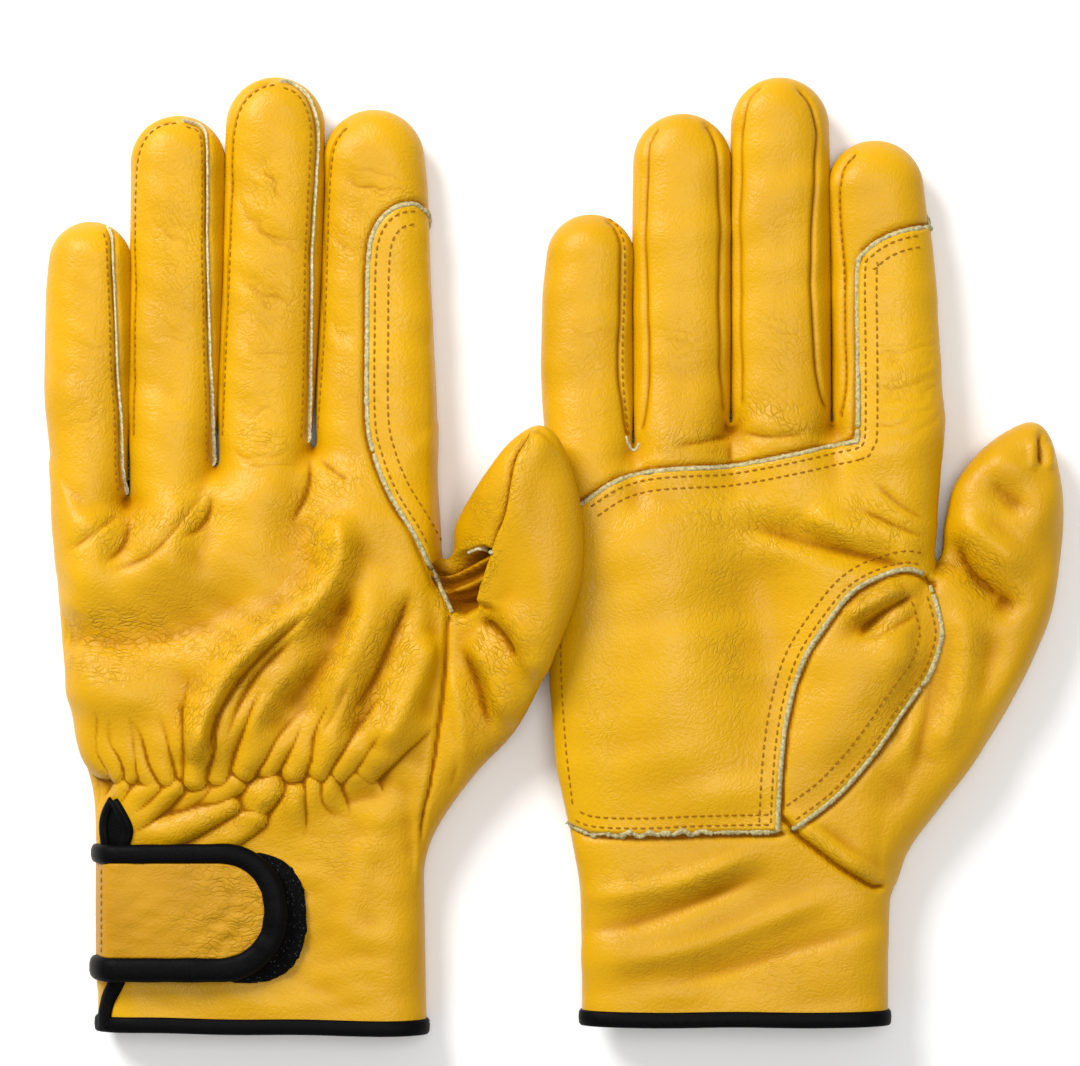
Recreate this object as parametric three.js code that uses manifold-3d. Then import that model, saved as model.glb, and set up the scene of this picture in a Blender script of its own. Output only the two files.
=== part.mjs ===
// A pair of yellow grain-leather work gloves lying side by side on a table.
//
// Frame: millimetres, +Z up, +Y towards the fingertips, +X from the left-hand glove to the right-hand
// glove. The origin is the centre of the pair's footprint, on the table.
// The left-hand glove lies palm down. The right-hand glove lies palm up, and the left thumb rests on it.
//
// Every leather panel is a thin curved skin laid on a hollow tube. A tube is a function of s, from 0 at
// its open end to 1, that gives a cross-section: the edge on the little-finger side, the edge on the
// thumb side, and half the height. An angle runs round the section: 0 at the thumb-side edge, 90 in the
// middle of the back of the hand, 180 at the little-finger edge and 270 in the middle of the palm.

import * as THREE from 'three';
import { mergeVertices } from 'three/addons/utils/BufferGeometryUtils.js';
import Module from 'manifold-3d';

const wasm = await Module();
wasm.setup();

// Leather and trim
const LEATHER = 1.3;            // thickness of the hide
const GAP = 0.3;                // clearance between layers that lie on each other
const PATCH_OUT = LEATHER + GAP;
const ELASTIC_THICKNESS = 0.8;
const HEM_TAPE_OUT = 1.5;       // how far the hem tape stands proud of the cuff
const HEM_WIDTH = 4.5;

// Heights above the table
const LEFT_PALM_Z = PATCH_OUT;  // the patch under the palm touches the table
const RIGHT_BACK_Z = PATCH_OUT;
const HAND_HEIGHT = 20.5;
const KNUCKLE_HEIGHT = 16.5;
const CUFF_HEIGHT = 15.4;
const STRAP_STACK = 5.2;        // cuff surface to the outer face of the closed strap

// Shape of the cross-sections
const HAND_ROUNDNESS = 0.6;     // 1 is an ellipse, smaller is squarer
const FINGER_ROUNDNESS = 0.72;
const FLAT_CROWN = 1.08;        // above 1, the middle of a face is truly flat

// Lengths along the hand
const HEM_Y = -124.9;
const WRIST_Y = -58;            // the gathered elastic line
const ELASTIC_HALF_WIDTH = 4;

// Strap
const STRAP_LENGTH = 43.6;      // free length from the hinge line to the round end
const STRAP_WIDTH = 35.3;
const STRAP_Y = -93;
const BINDING_WIDTH = 4.6;
const LOOP_RADIUS = 15;
const LOOP_START = 26;          // from the strap's round end back to the loop patch's square end
const LOOP_SHOWS = 5.8;         // how far the loop patch comes out past the strap's round end
const LOOP_RISE = 0.7;          // the loop patch sits a little higher than the strap's middle
const HOOK_RADIUS = 12.5;
const HOOK_START = 30;
const HOOK_END = 4;

// Each layer of the closed strap, from its near face to its far face, off the cuff
const SLIT_TAPE_LAYER = [0.3, 1.3];
const LOOP_LAYER = [0.3, 1.3];
const HOOK_LAYER = [1.6, 2.4];
const STRAP_LAYER = [3.0, 4.9];
const STRAP_TAPE_LAYER = [2.7, STRAP_STACK];

// How many straight pieces stand for each curve of an outline
const PATCH_CURVE_SEGMENTS = 8;
const TRIM_CURVE_SEGMENTS = 10;

const leather = () => new THREE.MeshStandardMaterial({ color: 0xe2a92a, roughness: 0.5, metalness: 0 });
const patchLeather = () => new THREE.MeshStandardMaterial({ color: 0xe6b033, roughness: 0.45, metalness: 0 });
const blackTape = () => new THREE.MeshStandardMaterial({ color: 0x141414, roughness: 0.6, metalness: 0 });
const blackFuzz = () => new THREE.MeshStandardMaterial({ color: 0x0c0c0c, roughness: 0.95, metalness: 0 });
const elasticWhite = () => new THREE.MeshStandardMaterial({ color: 0xd8d2c2, roughness: 0.9, metalness: 0 });

const pair = new THREE.Group();

function addPart(name, geometry, material) {
  const mesh = new THREE.Mesh(geometry, material);
  mesh.name = name;
  pair.add(mesh);
}

// ---------------------------------------------------------------- geometry helpers

function signedVolume(geometry) {
  const p = geometry.attributes.position;
  const index = geometry.index.array;
  const a = new THREE.Vector3();
  const b = new THREE.Vector3();
  const c = new THREE.Vector3();
  let volume = 0;
  for (let i = 0; i < index.length; i += 3) {
    a.fromBufferAttribute(p, index[i]);
    b.fromBufferAttribute(p, index[i + 1]);
    c.fromBufferAttribute(p, index[i + 2]);
    volume += a.dot(b.cross(c)) / 6;
  }
  return volume;
}

function weld(geometry) {
  geometry.deleteAttribute('normal');
  geometry.deleteAttribute('uv');
  const welded = mergeVertices(geometry, 1e-4);
  if (signedVolume(welded) < 0) {
    const index = welded.index.array;
    for (let i = 0; i < index.length; i += 3) {
      [index[i + 1], index[i + 2]] = [index[i + 2], index[i + 1]];
    }
  }
  welded.computeVertexNormals();
  return welded;
}

// A box with rows x columns faces, each corner moved by place(along, around, depth), all from 0 to 1.
function warpedSlab(rows, columns, place) {
  const box = new THREE.BoxGeometry(1, 1, 1, rows, columns, 1);
  const p = box.attributes.position;
  for (let i = 0; i < p.count; i += 1) {
    const v = place(p.getX(i) + 0.5, p.getY(i) + 0.5, p.getZ(i) + 0.5);
    p.setXYZ(i, v.x, v.y, v.z);
  }
  return weld(box);
}

function rounded(value, power) {
  return Math.sign(value) * Math.abs(value) ** power;
}

// A point on a tube's section at angle degrees, the given depth below its outer surface.
function onTube(tube, s, angle, depth) {
  const { little, thumb, half } = tube.section(s);
  const across = thumb.clone().sub(little).multiplyScalar(0.5);
  const middle = little.clone().add(across);
  const reach = Math.max(across.length() - depth, 0.5);
  const height = Math.max(half - depth, 0.4);
  const turn = THREE.MathUtils.degToRad(angle);
  const lift = rounded(Math.sin(turn), tube.roundness) * FLAT_CROWN;
  const point = middle.addScaledVector(across.normalize(), reach * rounded(Math.cos(turn), tube.roundness));
  point.z += tube.backUp * height * THREE.MathUtils.clamp(lift, -1, 1);
  return point;
}

// The angle at which a tube's back is a given part of the way from its middle to its thumb-side edge.
function backAngle(tube, part) {
  return THREE.MathUtils.radToDeg(Math.acos(rounded(part, 1 / tube.roundness)));
}

// Steps through a list of angles, so that panels on one tube share the same facets.
function throughAngles(angles, around) {
  const place = around * (angles.length - 1);
  const i = Math.min(Math.floor(place + 1e-6), angles.length - 2);
  return THREE.MathUtils.lerp(angles[i], angles[i + 1], place - i);
}

// A skin from depth outer to depth inner, from s0 to s1, with one column between each two angles.
function skin(tube, { s0 = 0, s1 = 1, angles, outer = 0, inner = LEATHER, rows }) {
  return warpedSlab(rows, angles.length - 1, (along, around, depth) => {
    const s = THREE.MathUtils.lerp(s0, s1, along);
    return onTube(tube, s, throughAngles(angles, around), THREE.MathUtils.lerp(outer, inner, depth));
  });
}

function evenAngles(from, to, step) {
  const count = Math.round((to - from) / step);
  return Array.from({ length: count + 1 }, (_, i) => from + i * step);
}

// The same angles with a little left open at both ends.
function openEnds(angles, edge) {
  const last = angles.length - 1;
  return angles.map((angle, i) => angle + (i === 0 ? edge : 0) - (i === last ? edge : 0));
}

function toManifold(geometry) {
  return new wasm.Manifold(new wasm.Mesh({
    numProp: 3,
    vertProperties: Float32Array.from(geometry.attributes.position.array),
    triVerts: Uint32Array.from(geometry.index.array),
  }));
}

function fromManifold(solid) {
  const mesh = solid.getMesh();
  const geometry = new THREE.BufferGeometry();
  geometry.setAttribute('position', new THREE.BufferAttribute(mesh.vertProperties, 3));
  geometry.setIndex(new THREE.BufferAttribute(mesh.triVerts, 1));
  geometry.computeVertexNormals();
  return geometry;
}

// A block whose plan is the shape, between two heights.
function planBlock(shape, low, high) {
  const prism = new THREE.ExtrudeGeometry(shape, {
    depth: high - low,
    bevelEnabled: false,
    curveSegments: PATCH_CURVE_SEGMENTS,
  });
  prism.translate(0, 0, low);
  return toManifold(weld(prism));
}

// ---------------------------------------------------------------- tubes

// Each station is [little-side x, y, z, thumb-side x, y, z, half height].
function stationTube(stations, backUp, roundness) {
  const spline = (pick) => new THREE.CatmullRomCurve3(stations.map(pick), false, 'catmullrom');
  const little = spline(([x, y, z]) => new THREE.Vector3(x, y, z));
  const thumb = spline(([, , , x, y, z]) => new THREE.Vector3(x, y, z));
  const half = spline((station) => new THREE.Vector3(0, 0, station[6]));
  const section = (s) => ({ little: little.getPoint(s), thumb: thumb.getPoint(s), half: half.getPoint(s).z });
  return { section, backUp, roundness };
}

// A hand is given as rows [y, little-side x, thumb-side x, low z, high z]. The last row is the slanted
// line of the finger roots, where the thumb side stands further out than the little side.
function handTube(rows, rootSlant, backUp) {
  const last = rows.length - 1;
  const stations = rows.map(([y, little, thumb, low, high], i) => {
    const lean = i === last ? rootSlant / 2 : 0;
    const z = (low + high) / 2;
    return [little, y - lean, z, thumb, y + lean, z, (high - low) / 2];
  });
  return stationTube(stations, backUp, HAND_ROUNDNESS);
}

function alongHand(tube, y) {
  let low = 0;
  let high = 1;
  for (let i = 0; i < 30; i += 1) {
    const s = (low + high) / 2;
    const { little, thumb } = tube.section(s);
    if ((little.y + thumb.y) / 2 < y) {
      low = s;
    } else {
      high = s;
    }
  }
  return low;
}

const CAP_START = 0.4;          // the share of s that the straight stretch of a finger takes
const CAP_END = THREE.MathUtils.degToRad(80);
const CAP_THINNING = 0.8;

// A finger runs straight from its root and closes with a round tip.
function fingerTube({ root, tip, radius }, zRoot, zTip, backUp) {
  const centre = new THREE.Vector3(tip[0], tip[1] - radius, (zTip[0] + zTip[1]) / 2);
  const rootZ = (zRoot[0] + zRoot[1]) / 2;
  const little = new THREE.Vector3(root[0], root[1], rootZ);
  const thumb = new THREE.Vector3(root[2], root[3], rootZ);
  const rootHalf = (zRoot[1] - zRoot[0]) / 2;
  const tipHalf = (zTip[1] - zTip[0]) / 2;
  const section = (s) => {
    const run = Math.min(s / CAP_START, 1);
    const turn = CAP_END * Math.max((s - CAP_START) / (1 - CAP_START), 0);
    const reach = radius * Math.cos(turn);
    const end = centre.clone();
    end.y += radius * Math.sin(turn);
    const littleEnd = end.clone().add(new THREE.Vector3(-reach, 0, 0));
    const thumbEnd = end.clone().add(new THREE.Vector3(reach, 0, 0));
    return {
      little: little.clone().lerp(littleEnd, run),
      thumb: thumb.clone().lerp(thumbEnd, run),
      half: THREE.MathUtils.lerp(rootHalf, tipHalf, run) * Math.cos(turn) ** CAP_THINNING,
    };
  };
  return { section, backUp, roundness: FINGER_ROUNDNESS };
}

// ---------------------------------------------------------------- hand and cuff

const EDGE = 0.6;               // degrees left open at each edge between the back and the palm
const HAND_STEP = 18;           // degrees between a hand's facets
const HAND_ROWS = 14;
const SLIT_WIDTH = 3;
const SLIT_TOP_Y = -63;
const SLIT_TAPE = 2.2;
const PAST_HEM = 4;             // the slit is cut right through the hem
const MOUTH_HEIGHT = 11;        // the way from the hand into the thumb
const MOUTH_DEPTH = 12;
const ELASTIC_ANGLES = [36, 144];
const ELASTIC_ROWS = 2;

function block(x0, x1, y0, y1, z0, z1) {
  const box = new THREE.BoxGeometry(x1 - x0, y1 - y0, z1 - z0);
  box.translate((x0 + x1) / 2, (y0 + y1) / 2, (z0 + z1) / 2);
  return toManifold(weld(box));
}

function thumbMouth(glove) {
  const [low, high] = glove.mouthY;
  const z = glove.midZ;
  return block(glove.mouthX - MOUTH_DEPTH, glove.mouthX + MOUTH_DEPTH, low, high,
    z - MOUTH_HEIGHT / 2, z + MOUTH_HEIGHT / 2);
}

// The back of the hand and cuff in one piece, slit at the wrist under the strap.
function backPanel(glove) {
  const angles = openEnds(evenAngles(0, 180, HAND_STEP), EDGE);
  const panel = skin(glove.hand, { angles, rows: HAND_ROWS });
  const slit = block(glove.slitX - SLIT_WIDTH / 2, glove.slitX + SLIT_WIDTH / 2, HEM_Y - PAST_HEM, SLIT_TOP_Y,
    glove.cuffBackZ - HAND_HEIGHT / 2, glove.cuffBackZ + HAND_HEIGHT / 2);
  return fromManifold(toManifold(panel).subtract(slit).subtract(thumbMouth(glove)));
}

function palmPanel(glove) {
  const angles = openEnds(evenAngles(180, 360, HAND_STEP), EDGE);
  const panel = skin(glove.hand, { angles, rows: HAND_ROWS });
  return fromManifold(toManifold(panel).subtract(thumbMouth(glove)));
}

function shapeAt(glove, points) {
  return points.map(([x, y]) => new THREE.Vector2(x + glove.planX, y + glove.planY));
}

// Leather laid on the outside of the hand, within an outline on the palm and one on the back.
function overlay(glove, palmShape, backShape) {
  const angles = evenAngles(180 + HAND_STEP, 360 + 3 * HAND_STEP, HAND_STEP);
  const layer = skin(glove.hand, { angles, outer: -PATCH_OUT, inner: -GAP, rows: HAND_ROWS });
  const far = glove.midZ - glove.backUp * HAND_HEIGHT;
  const palmBlock = planBlock(palmShape, Math.min(glove.midZ, far), Math.max(glove.midZ, far));
  if (!backShape) {
    return fromManifold(toManifold(layer).intersect(palmBlock));
  }
  const near = glove.midZ + glove.backUp * HAND_HEIGHT;
  const start = glove.midZ - glove.backUp;
  const backBlock = planBlock(backShape, Math.min(start, near), Math.max(start, near));
  return fromManifold(toManifold(layer).intersect(palmBlock.add(backBlock)));
}

// The patch covers the palm below the fingers, with a straight foot above the cuff. It goes round the
// ball of the thumb and over the edge of the hand onto its back, below the index finger.
function palmPatch(glove) {
  const palm = new THREE.Shape();
  const corner = shapeAt(glove, [
    [-12, -70], [57.7, -70], [59.8, -45], [106, -5], [106, 70], [79, 70], [79, 31], [-12, 8],
  ]);
  palm.moveTo(corner[0].x, corner[0].y);
  palm.lineTo(corner[1].x, corner[1].y);
  palm.lineTo(corner[2].x, corner[2].y);
  palm.splineThru(shapeAt(glove, [[66.1, -24.5], [78.9, -8.2], [91.5, -3.5]]));
  palm.lineTo(corner[3].x, corner[3].y);
  palm.lineTo(corner[4].x, corner[4].y);
  palm.lineTo(corner[5].x, corner[5].y);
  palm.lineTo(corner[6].x, corner[6].y);
  palm.splineThru(shapeAt(glove, [[46, 24], [25, 21], [-12, 8]]));
  const back = new THREE.Shape();
  const edge = shapeAt(glove, [[112, -5], [112, 70], [82.8, 70], [82.8, 28]]);
  back.moveTo(edge[0].x, edge[0].y);
  back.lineTo(edge[1].x, edge[1].y);
  back.lineTo(edge[2].x, edge[2].y);
  back.lineTo(edge[3].x, edge[3].y);
  back.splineThru(shapeAt(glove, [[86.7, 15.8], [92, 6.7], [97, -5]]));
  return overlay(glove, palm, back);
}

// The leaf-shaped panel over the ball of the thumb, between the patch and the thumb.
function thenarPanel(glove) {
  const start = shapeAt(glove, [[60, -69]])[0];
  const shape = new THREE.Shape();
  shape.moveTo(start.x, start.y);
  shape.splineThru(shapeAt(glove, [[61.8, -46], [68, -26.5], [78.5, -12], [90, -6.5]]));
  shape.splineThru(shapeAt(glove, [[94.5, -14], [91, -34], [80, -53.5], [60, -69]]));
  return overlay(glove, shape);
}

function elasticBand(glove) {
  const tube = glove.hand;
  return skin(tube, {
    s0: alongHand(tube, WRIST_Y - ELASTIC_HALF_WIDTH),
    s1: alongHand(tube, WRIST_Y + ELASTIC_HALF_WIDTH),
    angles: evenAngles(...ELASTIC_ANGLES, HAND_STEP),
    outer: LEATHER + 2 * GAP,
    inner: LEATHER + 2 * GAP + ELASTIC_THICKNESS,
    rows: ELASTIC_ROWS,
  });
}

// Black tape round the hem, open where the slit meets it.
function cuffBinding(glove) {
  const tube = glove.hand;
  const { little, thumb } = tube.section(0);
  const part = (x) => (2 * (x - little.x)) / (thumb.x - little.x) - 1;
  const nearSide = backAngle(tube, part(glove.slitX + SLIT_WIDTH / 2));
  const farSide = backAngle(tube, part(glove.slitX - SLIT_WIDTH / 2));
  const between = evenAngles(0, 540, HAND_STEP).filter((angle) => angle > farSide && angle < nearSide + 360);
  return skin(tube, {
    s1: alongHand(tube, HEM_Y + HEM_WIDTH),
    angles: [farSide, ...between, nearSide + 360],
    outer: -HEM_TAPE_OUT,
    inner: -GAP,
    rows: 1,
  });
}

// ---------------------------------------------------------------- flat trim on the back of the cuff

// A flat plate whose outline is in the plan, standing from one height to another off the cuff's back.
function cuffPlate(glove, shape, near, far) {
  const plate = new THREE.ExtrudeGeometry(shape, {
    depth: far - near,
    bevelEnabled: false,
    curveSegments: TRIM_CURVE_SEGMENTS,
  });
  plate.translate(0, 0, near);
  plate.scale(1, 1, glove.backUp);
  plate.translate(0, 0, glove.cuffBackZ);
  return weld(plate);
}

// A plate with a square end at x0 and a half-round end that reaches x1.
function tongue(x0, x1, y, radius) {
  const shape = new THREE.Shape();
  shape.moveTo(x0, y - radius);
  shape.lineTo(x1 - radius, y - radius);
  shape.absarc(x1 - radius, y, radius, -Math.PI / 2, Math.PI / 2, false);
  shape.lineTo(x0, y + radius);
  return shape;
}

// The tape round a tongue: a U of even width, open at the square end.
function tongueTape(x0, x1, y, radius, width) {
  const shape = tongue(x0, x1, y, radius);
  shape.lineTo(x0, y + radius - width);
  shape.lineTo(x1 - radius, y + radius - width);
  shape.absarc(x1 - radius, y, radius - width, Math.PI / 2, -Math.PI / 2, true);
  shape.lineTo(x0, y - radius + width);
  return shape;
}

function slitTape(glove) {
  const half = SLIT_WIDTH / 2;
  const outer = half + SLIT_TAPE;
  const foot = HEM_Y + HEM_WIDTH + GAP;
  const shape = new THREE.Shape();
  shape.moveTo(glove.slitX + half, foot);
  shape.lineTo(glove.slitX + outer, foot);
  shape.absarc(glove.slitX, SLIT_TOP_Y, outer, 0, Math.PI, false);
  shape.lineTo(glove.slitX - outer, foot);
  shape.lineTo(glove.slitX - half, foot);
  shape.absarc(glove.slitX, SLIT_TOP_Y, half, Math.PI, 0, true);
  return shape;
}

function addClosure(glove) {
  const x0 = glove.slitX + GAP;
  const end = glove.slitX + STRAP_LENGTH;
  const radius = STRAP_WIDTH / 2;
  const add = (name, shape, [near, far], material) => {
    addPart(`${glove.name}_${name}`, cuffPlate(glove, shape, near, far), material);
  };
  add('slit_binding', slitTape(glove), SLIT_TAPE_LAYER, blackTape());
  const loop = tongue(end - LOOP_START, end + LOOP_SHOWS, STRAP_Y + LOOP_RISE, LOOP_RADIUS);
  add('loop_patch', loop, LOOP_LAYER, blackFuzz());
  const hook = tongue(end - HOOK_START, end - HOOK_END, STRAP_Y, HOOK_RADIUS);
  add('hook_patch', hook, HOOK_LAYER, blackFuzz());
  const inset = BINDING_WIDTH + GAP;
  add('strap', tongue(x0, end - inset, STRAP_Y, radius - inset), STRAP_LAYER, leather());
  const tape = tongueTape(x0, end, STRAP_Y, radius, BINDING_WIDTH);
  add('strap_binding', tape, STRAP_TAPE_LAYER, blackTape());
}

// ---------------------------------------------------------------- fingers and thumb

const SIDE = 40;                // a side strip reaches this far each way from the edge
const FACE_STEP = 25;           // degrees between the facets of a finger's back and front
const FINGER_ROWS = 5;
const FINGER_EDGE = 2.5;        // degrees left open between a finger's panels
const PATCH_FOOT = 0.01;        // the share of the index finger where the patch starts
const PATCH_TOP = 0.33;         // and where it ends
const PATCH_ROWS = 2;
const THUMB_STEP = 30;          // degrees between a thumb's facets
const THUMB_ROWS = 9;

function addFinger(glove, name, spec) {
  const tube = fingerTube(spec, glove.fingerRootZ, glove.fingerTipZ, glove.backUp);
  const face = (middle) => evenAngles(middle - 2 * FACE_STEP, middle + 2 * FACE_STEP, FACE_STEP);
  const side = (middle) => evenAngles(middle - SIDE, middle + SIDE, SIDE);
  const add = (part, angles) => {
    const geometry = skin(tube, { angles: openEnds(angles, FINGER_EDGE), rows: FINGER_ROWS });
    addPart(`${glove.name}_${name}_${part}`, geometry, leather());
  };
  add('back', face(90));
  if (name === 'little') {
    add('front', [...side(180).slice(0, 2), ...face(270)]);
  } else {
    add('little_side', side(180));
  }
  if (name === 'index') {
    add('front', [...face(270), ...side(360).slice(1)]);
    const patch = skin(tube, {
      s0: PATCH_FOOT,
      s1: PATCH_TOP,
      angles: [...face(270).slice(1), ...side(360).slice(1), ...face(450).slice(1, 3)],
      outer: -PATCH_OUT,
      inner: -GAP,
      rows: PATCH_ROWS,
    });
    addPart(`${glove.name}_index_patch`, patch, patchLeather());
  } else {
    add('thumb_side', side(360));
  }
  if (name === 'ring' || name === 'middle') {
    add('front', face(270));
  }
}

function addThumb(glove) {
  const tube = stationTube(glove.thumbStations, glove.backUp, FINGER_ROUNDNESS);
  const half = (from) => {
    const angles = openEnds(evenAngles(from, from + 180, THUMB_STEP), FINGER_EDGE);
    return skin(tube, { angles, rows: THUMB_ROWS });
  };
  addPart(`${glove.name}_thumb_back`, half(0), leather());
  addPart(`${glove.name}_thumb_front`, half(180), leather());
}

// ---------------------------------------------------------------- the two gloves

function addGlove(glove) {
  const add = (name, geometry, material) => addPart(`${glove.name}_${name}`, geometry, material);
  add('back_panel', backPanel(glove), leather());
  add('palm_panel', palmPanel(glove), leather());
  add('palm_patch', palmPatch(glove), patchLeather());
  add('thenar_panel', thenarPanel(glove), leather());
  add('elastic_band', elasticBand(glove), elasticWhite());
  add('cuff_binding', cuffBinding(glove), blackTape());
  addClosure(glove);
  for (const [name, spec] of Object.entries(glove.fingers)) {
    addFinger(glove, name, spec);
  }
  addThumb(glove);
}

const leftCuffTop = LEFT_PALM_Z + CUFF_HEIGHT;
const leftHandTop = LEFT_PALM_Z + HAND_HEIGHT;
const leftKnuckleTop = LEFT_PALM_Z + KNUCKLE_HEIGHT;

const leftGlove = {
  name: 'left',
  backUp: 1,
  slitX: -114.3,
  cuffBackZ: leftCuffTop,
  midZ: 11,
  mouthX: -30,
  mouthY: [-75, -20],
  planX: -128.3,
  planY: -5,
  hand: handTube([
    [HEM_Y, -120.0, -33.6, LEFT_PALM_Z, leftCuffTop],
    [-104, -119.8, -33.8, LEFT_PALM_Z, leftCuffTop],
    [-78, -119.8, -34.4, LEFT_PALM_Z, leftCuffTop],
    [-57, -120.4, -32.3, LEFT_PALM_Z, leftCuffTop],
    [-38, -126.0, -30.2, LEFT_PALM_Z, 21.5],
    [-18, -129.4, -28.1, LEFT_PALM_Z, leftHandTop],
    [5, -131.4, -29.4, LEFT_PALM_Z, 21],
    [24, -132.6, -31.0, LEFT_PALM_Z, leftKnuckleTop],
  ], 14, 1),
  fingerRootZ: [LEFT_PALM_Z, 17.6],
  fingerTipZ: [PATCH_OUT, 16.2],
  fingers: {
    little: { root: [-132.8, 17.4, -112.8, 20.4], tip: [-122.1, 87], radius: 10.6 },
    ring: { root: [-111.9, 20.5, -89.4, 23.7], tip: [-99.3, 114.8], radius: 11.9 },
    middle: { root: [-88.8, 23.8, -64.7, 27.2], tip: [-73.9, 125], radius: 12.5 },
    index: { root: [-64.0, 27.3, -31.2, 31.6], tip: [-47.7, 116.4], radius: 13.0 },
  },
  thumbStations: [
    [-27.4, -18, 11.5, -33.7, -78, 9.5, 8.0],
    [-25.6, -11, 14.5, -14.0, -51, 16, 9.6],
    [-26.0, -3, 19, 1.2, -26, 29, 7.6],
    [-25.0, 6, 23, 7.2, -1.5, 32.5, 7.0],
    [-19.0, 17, 27, 6.6, 12.5, 33, 6.5],
    [-11.5, 26.5, 29.5, 3.6, 25, 32, 4.4],
    [-6.5, 32.2, 30, -0.6, 32.6, 30.5, 2.2],
  ],
};

const rightCuffBack = STRAP_STACK;
const rightPalmTop = RIGHT_BACK_Z + HAND_HEIGHT;

const rightGlove = {
  name: 'right',
  backUp: -1,
  slitX: 12.4,
  cuffBackZ: rightCuffBack,
  midZ: 12,
  mouthX: 94,
  mouthY: [-80, -18],
  planX: 0,
  planY: 0,
  hand: handTube([
    [HEM_Y + 2, 7.2, 87.3, rightCuffBack, 20.6],
    [-104, 7.0, 87.3, rightCuffBack, 20.6],
    [-84, 6.6, 88.0, rightCuffBack, 20.6],
    [-58, 2.0, 91.0, rightCuffBack, 21.2],
    [-38, -0.8, 93.6, RIGHT_BACK_Z, 22.1],
    [-16, -1.6, 96.6, RIGHT_BACK_Z, rightPalmTop],
    [10, -2.2, 99.6, RIGHT_BACK_Z, 21],
    [36.5, -2.4, 101.0, RIGHT_BACK_Z, 18.2],
  ], 1.5, -1),
  fingerRootZ: [RIGHT_BACK_Z, 17.8],
  fingerTipZ: [PATCH_OUT, 16.2],
  fingers: {
    little: { root: [-2.4, 36.3, 20.2, 36.6], tip: [9.1, 89.1], radius: 11.0 },
    ring: { root: [20.9, 36.6, 45.9, 37.0], tip: [33.6, 115.3], radius: 12.4 },
    middle: { root: [46.6, 37.0, 72.4, 37.3], tip: [59.4, 124.9], radius: 12.5 },
    index: { root: [73.1, 37.4, 101.0, 37.8], tip: [85.2, 108.3], radius: 12.6 },
  },
  thumbStations: [
    [97.4, -16, 12.5, 88.8, -84, 13.5, 7.6],
    [100.0, -6, 12.0, 106.0, -57, 12.0, 9.6],
    [101.8, 3, 11.0, 124.0, -28, 10.5, 9.2],
    [104.4, 13, 10.5, 131.8, -4, 10, 8.4],
    [109.6, 22, 10, 132.9, 12, 9.5, 7.8],
    [115.6, 30, 9, 130.8, 25.5, 9, 5.6],
    [121.4, 34.2, 8.5, 127.4, 33.6, 8.5, 2.5],
  ],
};

addGlove(leftGlove);
addGlove(rightGlove);

export default pair;
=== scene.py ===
import math

import bpy
import numpy as np
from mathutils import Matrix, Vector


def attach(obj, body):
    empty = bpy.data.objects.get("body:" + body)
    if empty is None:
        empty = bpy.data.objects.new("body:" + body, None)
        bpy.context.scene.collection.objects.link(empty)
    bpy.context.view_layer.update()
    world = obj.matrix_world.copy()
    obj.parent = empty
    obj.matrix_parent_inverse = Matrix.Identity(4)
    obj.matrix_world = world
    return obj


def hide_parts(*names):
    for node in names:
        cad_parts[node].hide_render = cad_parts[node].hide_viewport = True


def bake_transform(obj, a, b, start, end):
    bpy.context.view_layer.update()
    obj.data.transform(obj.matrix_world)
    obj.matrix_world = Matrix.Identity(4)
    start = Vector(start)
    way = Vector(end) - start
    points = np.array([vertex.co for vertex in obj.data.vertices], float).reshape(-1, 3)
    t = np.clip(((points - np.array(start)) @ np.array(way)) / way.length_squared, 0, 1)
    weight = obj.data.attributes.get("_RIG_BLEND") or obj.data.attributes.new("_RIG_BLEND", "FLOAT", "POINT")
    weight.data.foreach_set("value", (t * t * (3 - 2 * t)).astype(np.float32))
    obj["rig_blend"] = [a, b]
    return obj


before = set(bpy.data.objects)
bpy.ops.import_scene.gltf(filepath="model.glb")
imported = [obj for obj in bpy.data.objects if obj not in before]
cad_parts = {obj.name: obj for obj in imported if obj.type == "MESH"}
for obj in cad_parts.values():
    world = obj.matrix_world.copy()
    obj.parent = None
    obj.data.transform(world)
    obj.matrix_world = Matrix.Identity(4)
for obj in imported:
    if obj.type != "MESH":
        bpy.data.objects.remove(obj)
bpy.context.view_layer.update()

import openvdb
from mathutils import Vector
from mathutils.bvhtree import BVHTree

# Lengths in this script are millimetres in the row frame, and turn into metres when a mesh is made.
MM = 0.001
VOXEL = 0.62
EDGE_POWER = 2.2            # how square the rolled edge of a glove is in section
TOP_ROLL = 12.0             # how far in from its outline a hand's upper face starts to roll over
LOW_ROLL = 8.0
STITCH_PITCH = 2.1
PATCH_EDGE_SIZE = (1.4, 1.2)    # width and height of a patch's cut edge
PATCH_EDGE_RAGGED = 0.07        # how much its width varies
SEAM_EDGE_SIZE = (0.66, 1.8)    # the cut edge that stands up out of a finger's seam
STRAP_FLIP = 22.1           # the sum of a closure's heights on the left glove and on the right one

rng = np.random.default_rng(7)


# ------------------------------------------------------------------ curves and distances

def curve(points, step=0.7):
    """A smooth path through plan points, sampled at an even step."""
    p = np.array(points, float)
    ends = np.vstack([2 * p[0] - p[1], p, 2 * p[-1] - p[-2]])
    t = np.linspace(0, 1, 24, endpoint=False)[:, None]
    spans = []
    for a, b, c, d in zip(ends, ends[1:], ends[2:], ends[3:]):
        spans.append(0.5 * (2 * b + (c - a) * t + (2 * a - 5 * b + 4 * c - d) * t**2
                            + (3 * b - a - 3 * c + d) * t**3))
    dense = np.vstack(spans + [p[-1:]])
    return resample(dense, step)


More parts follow.
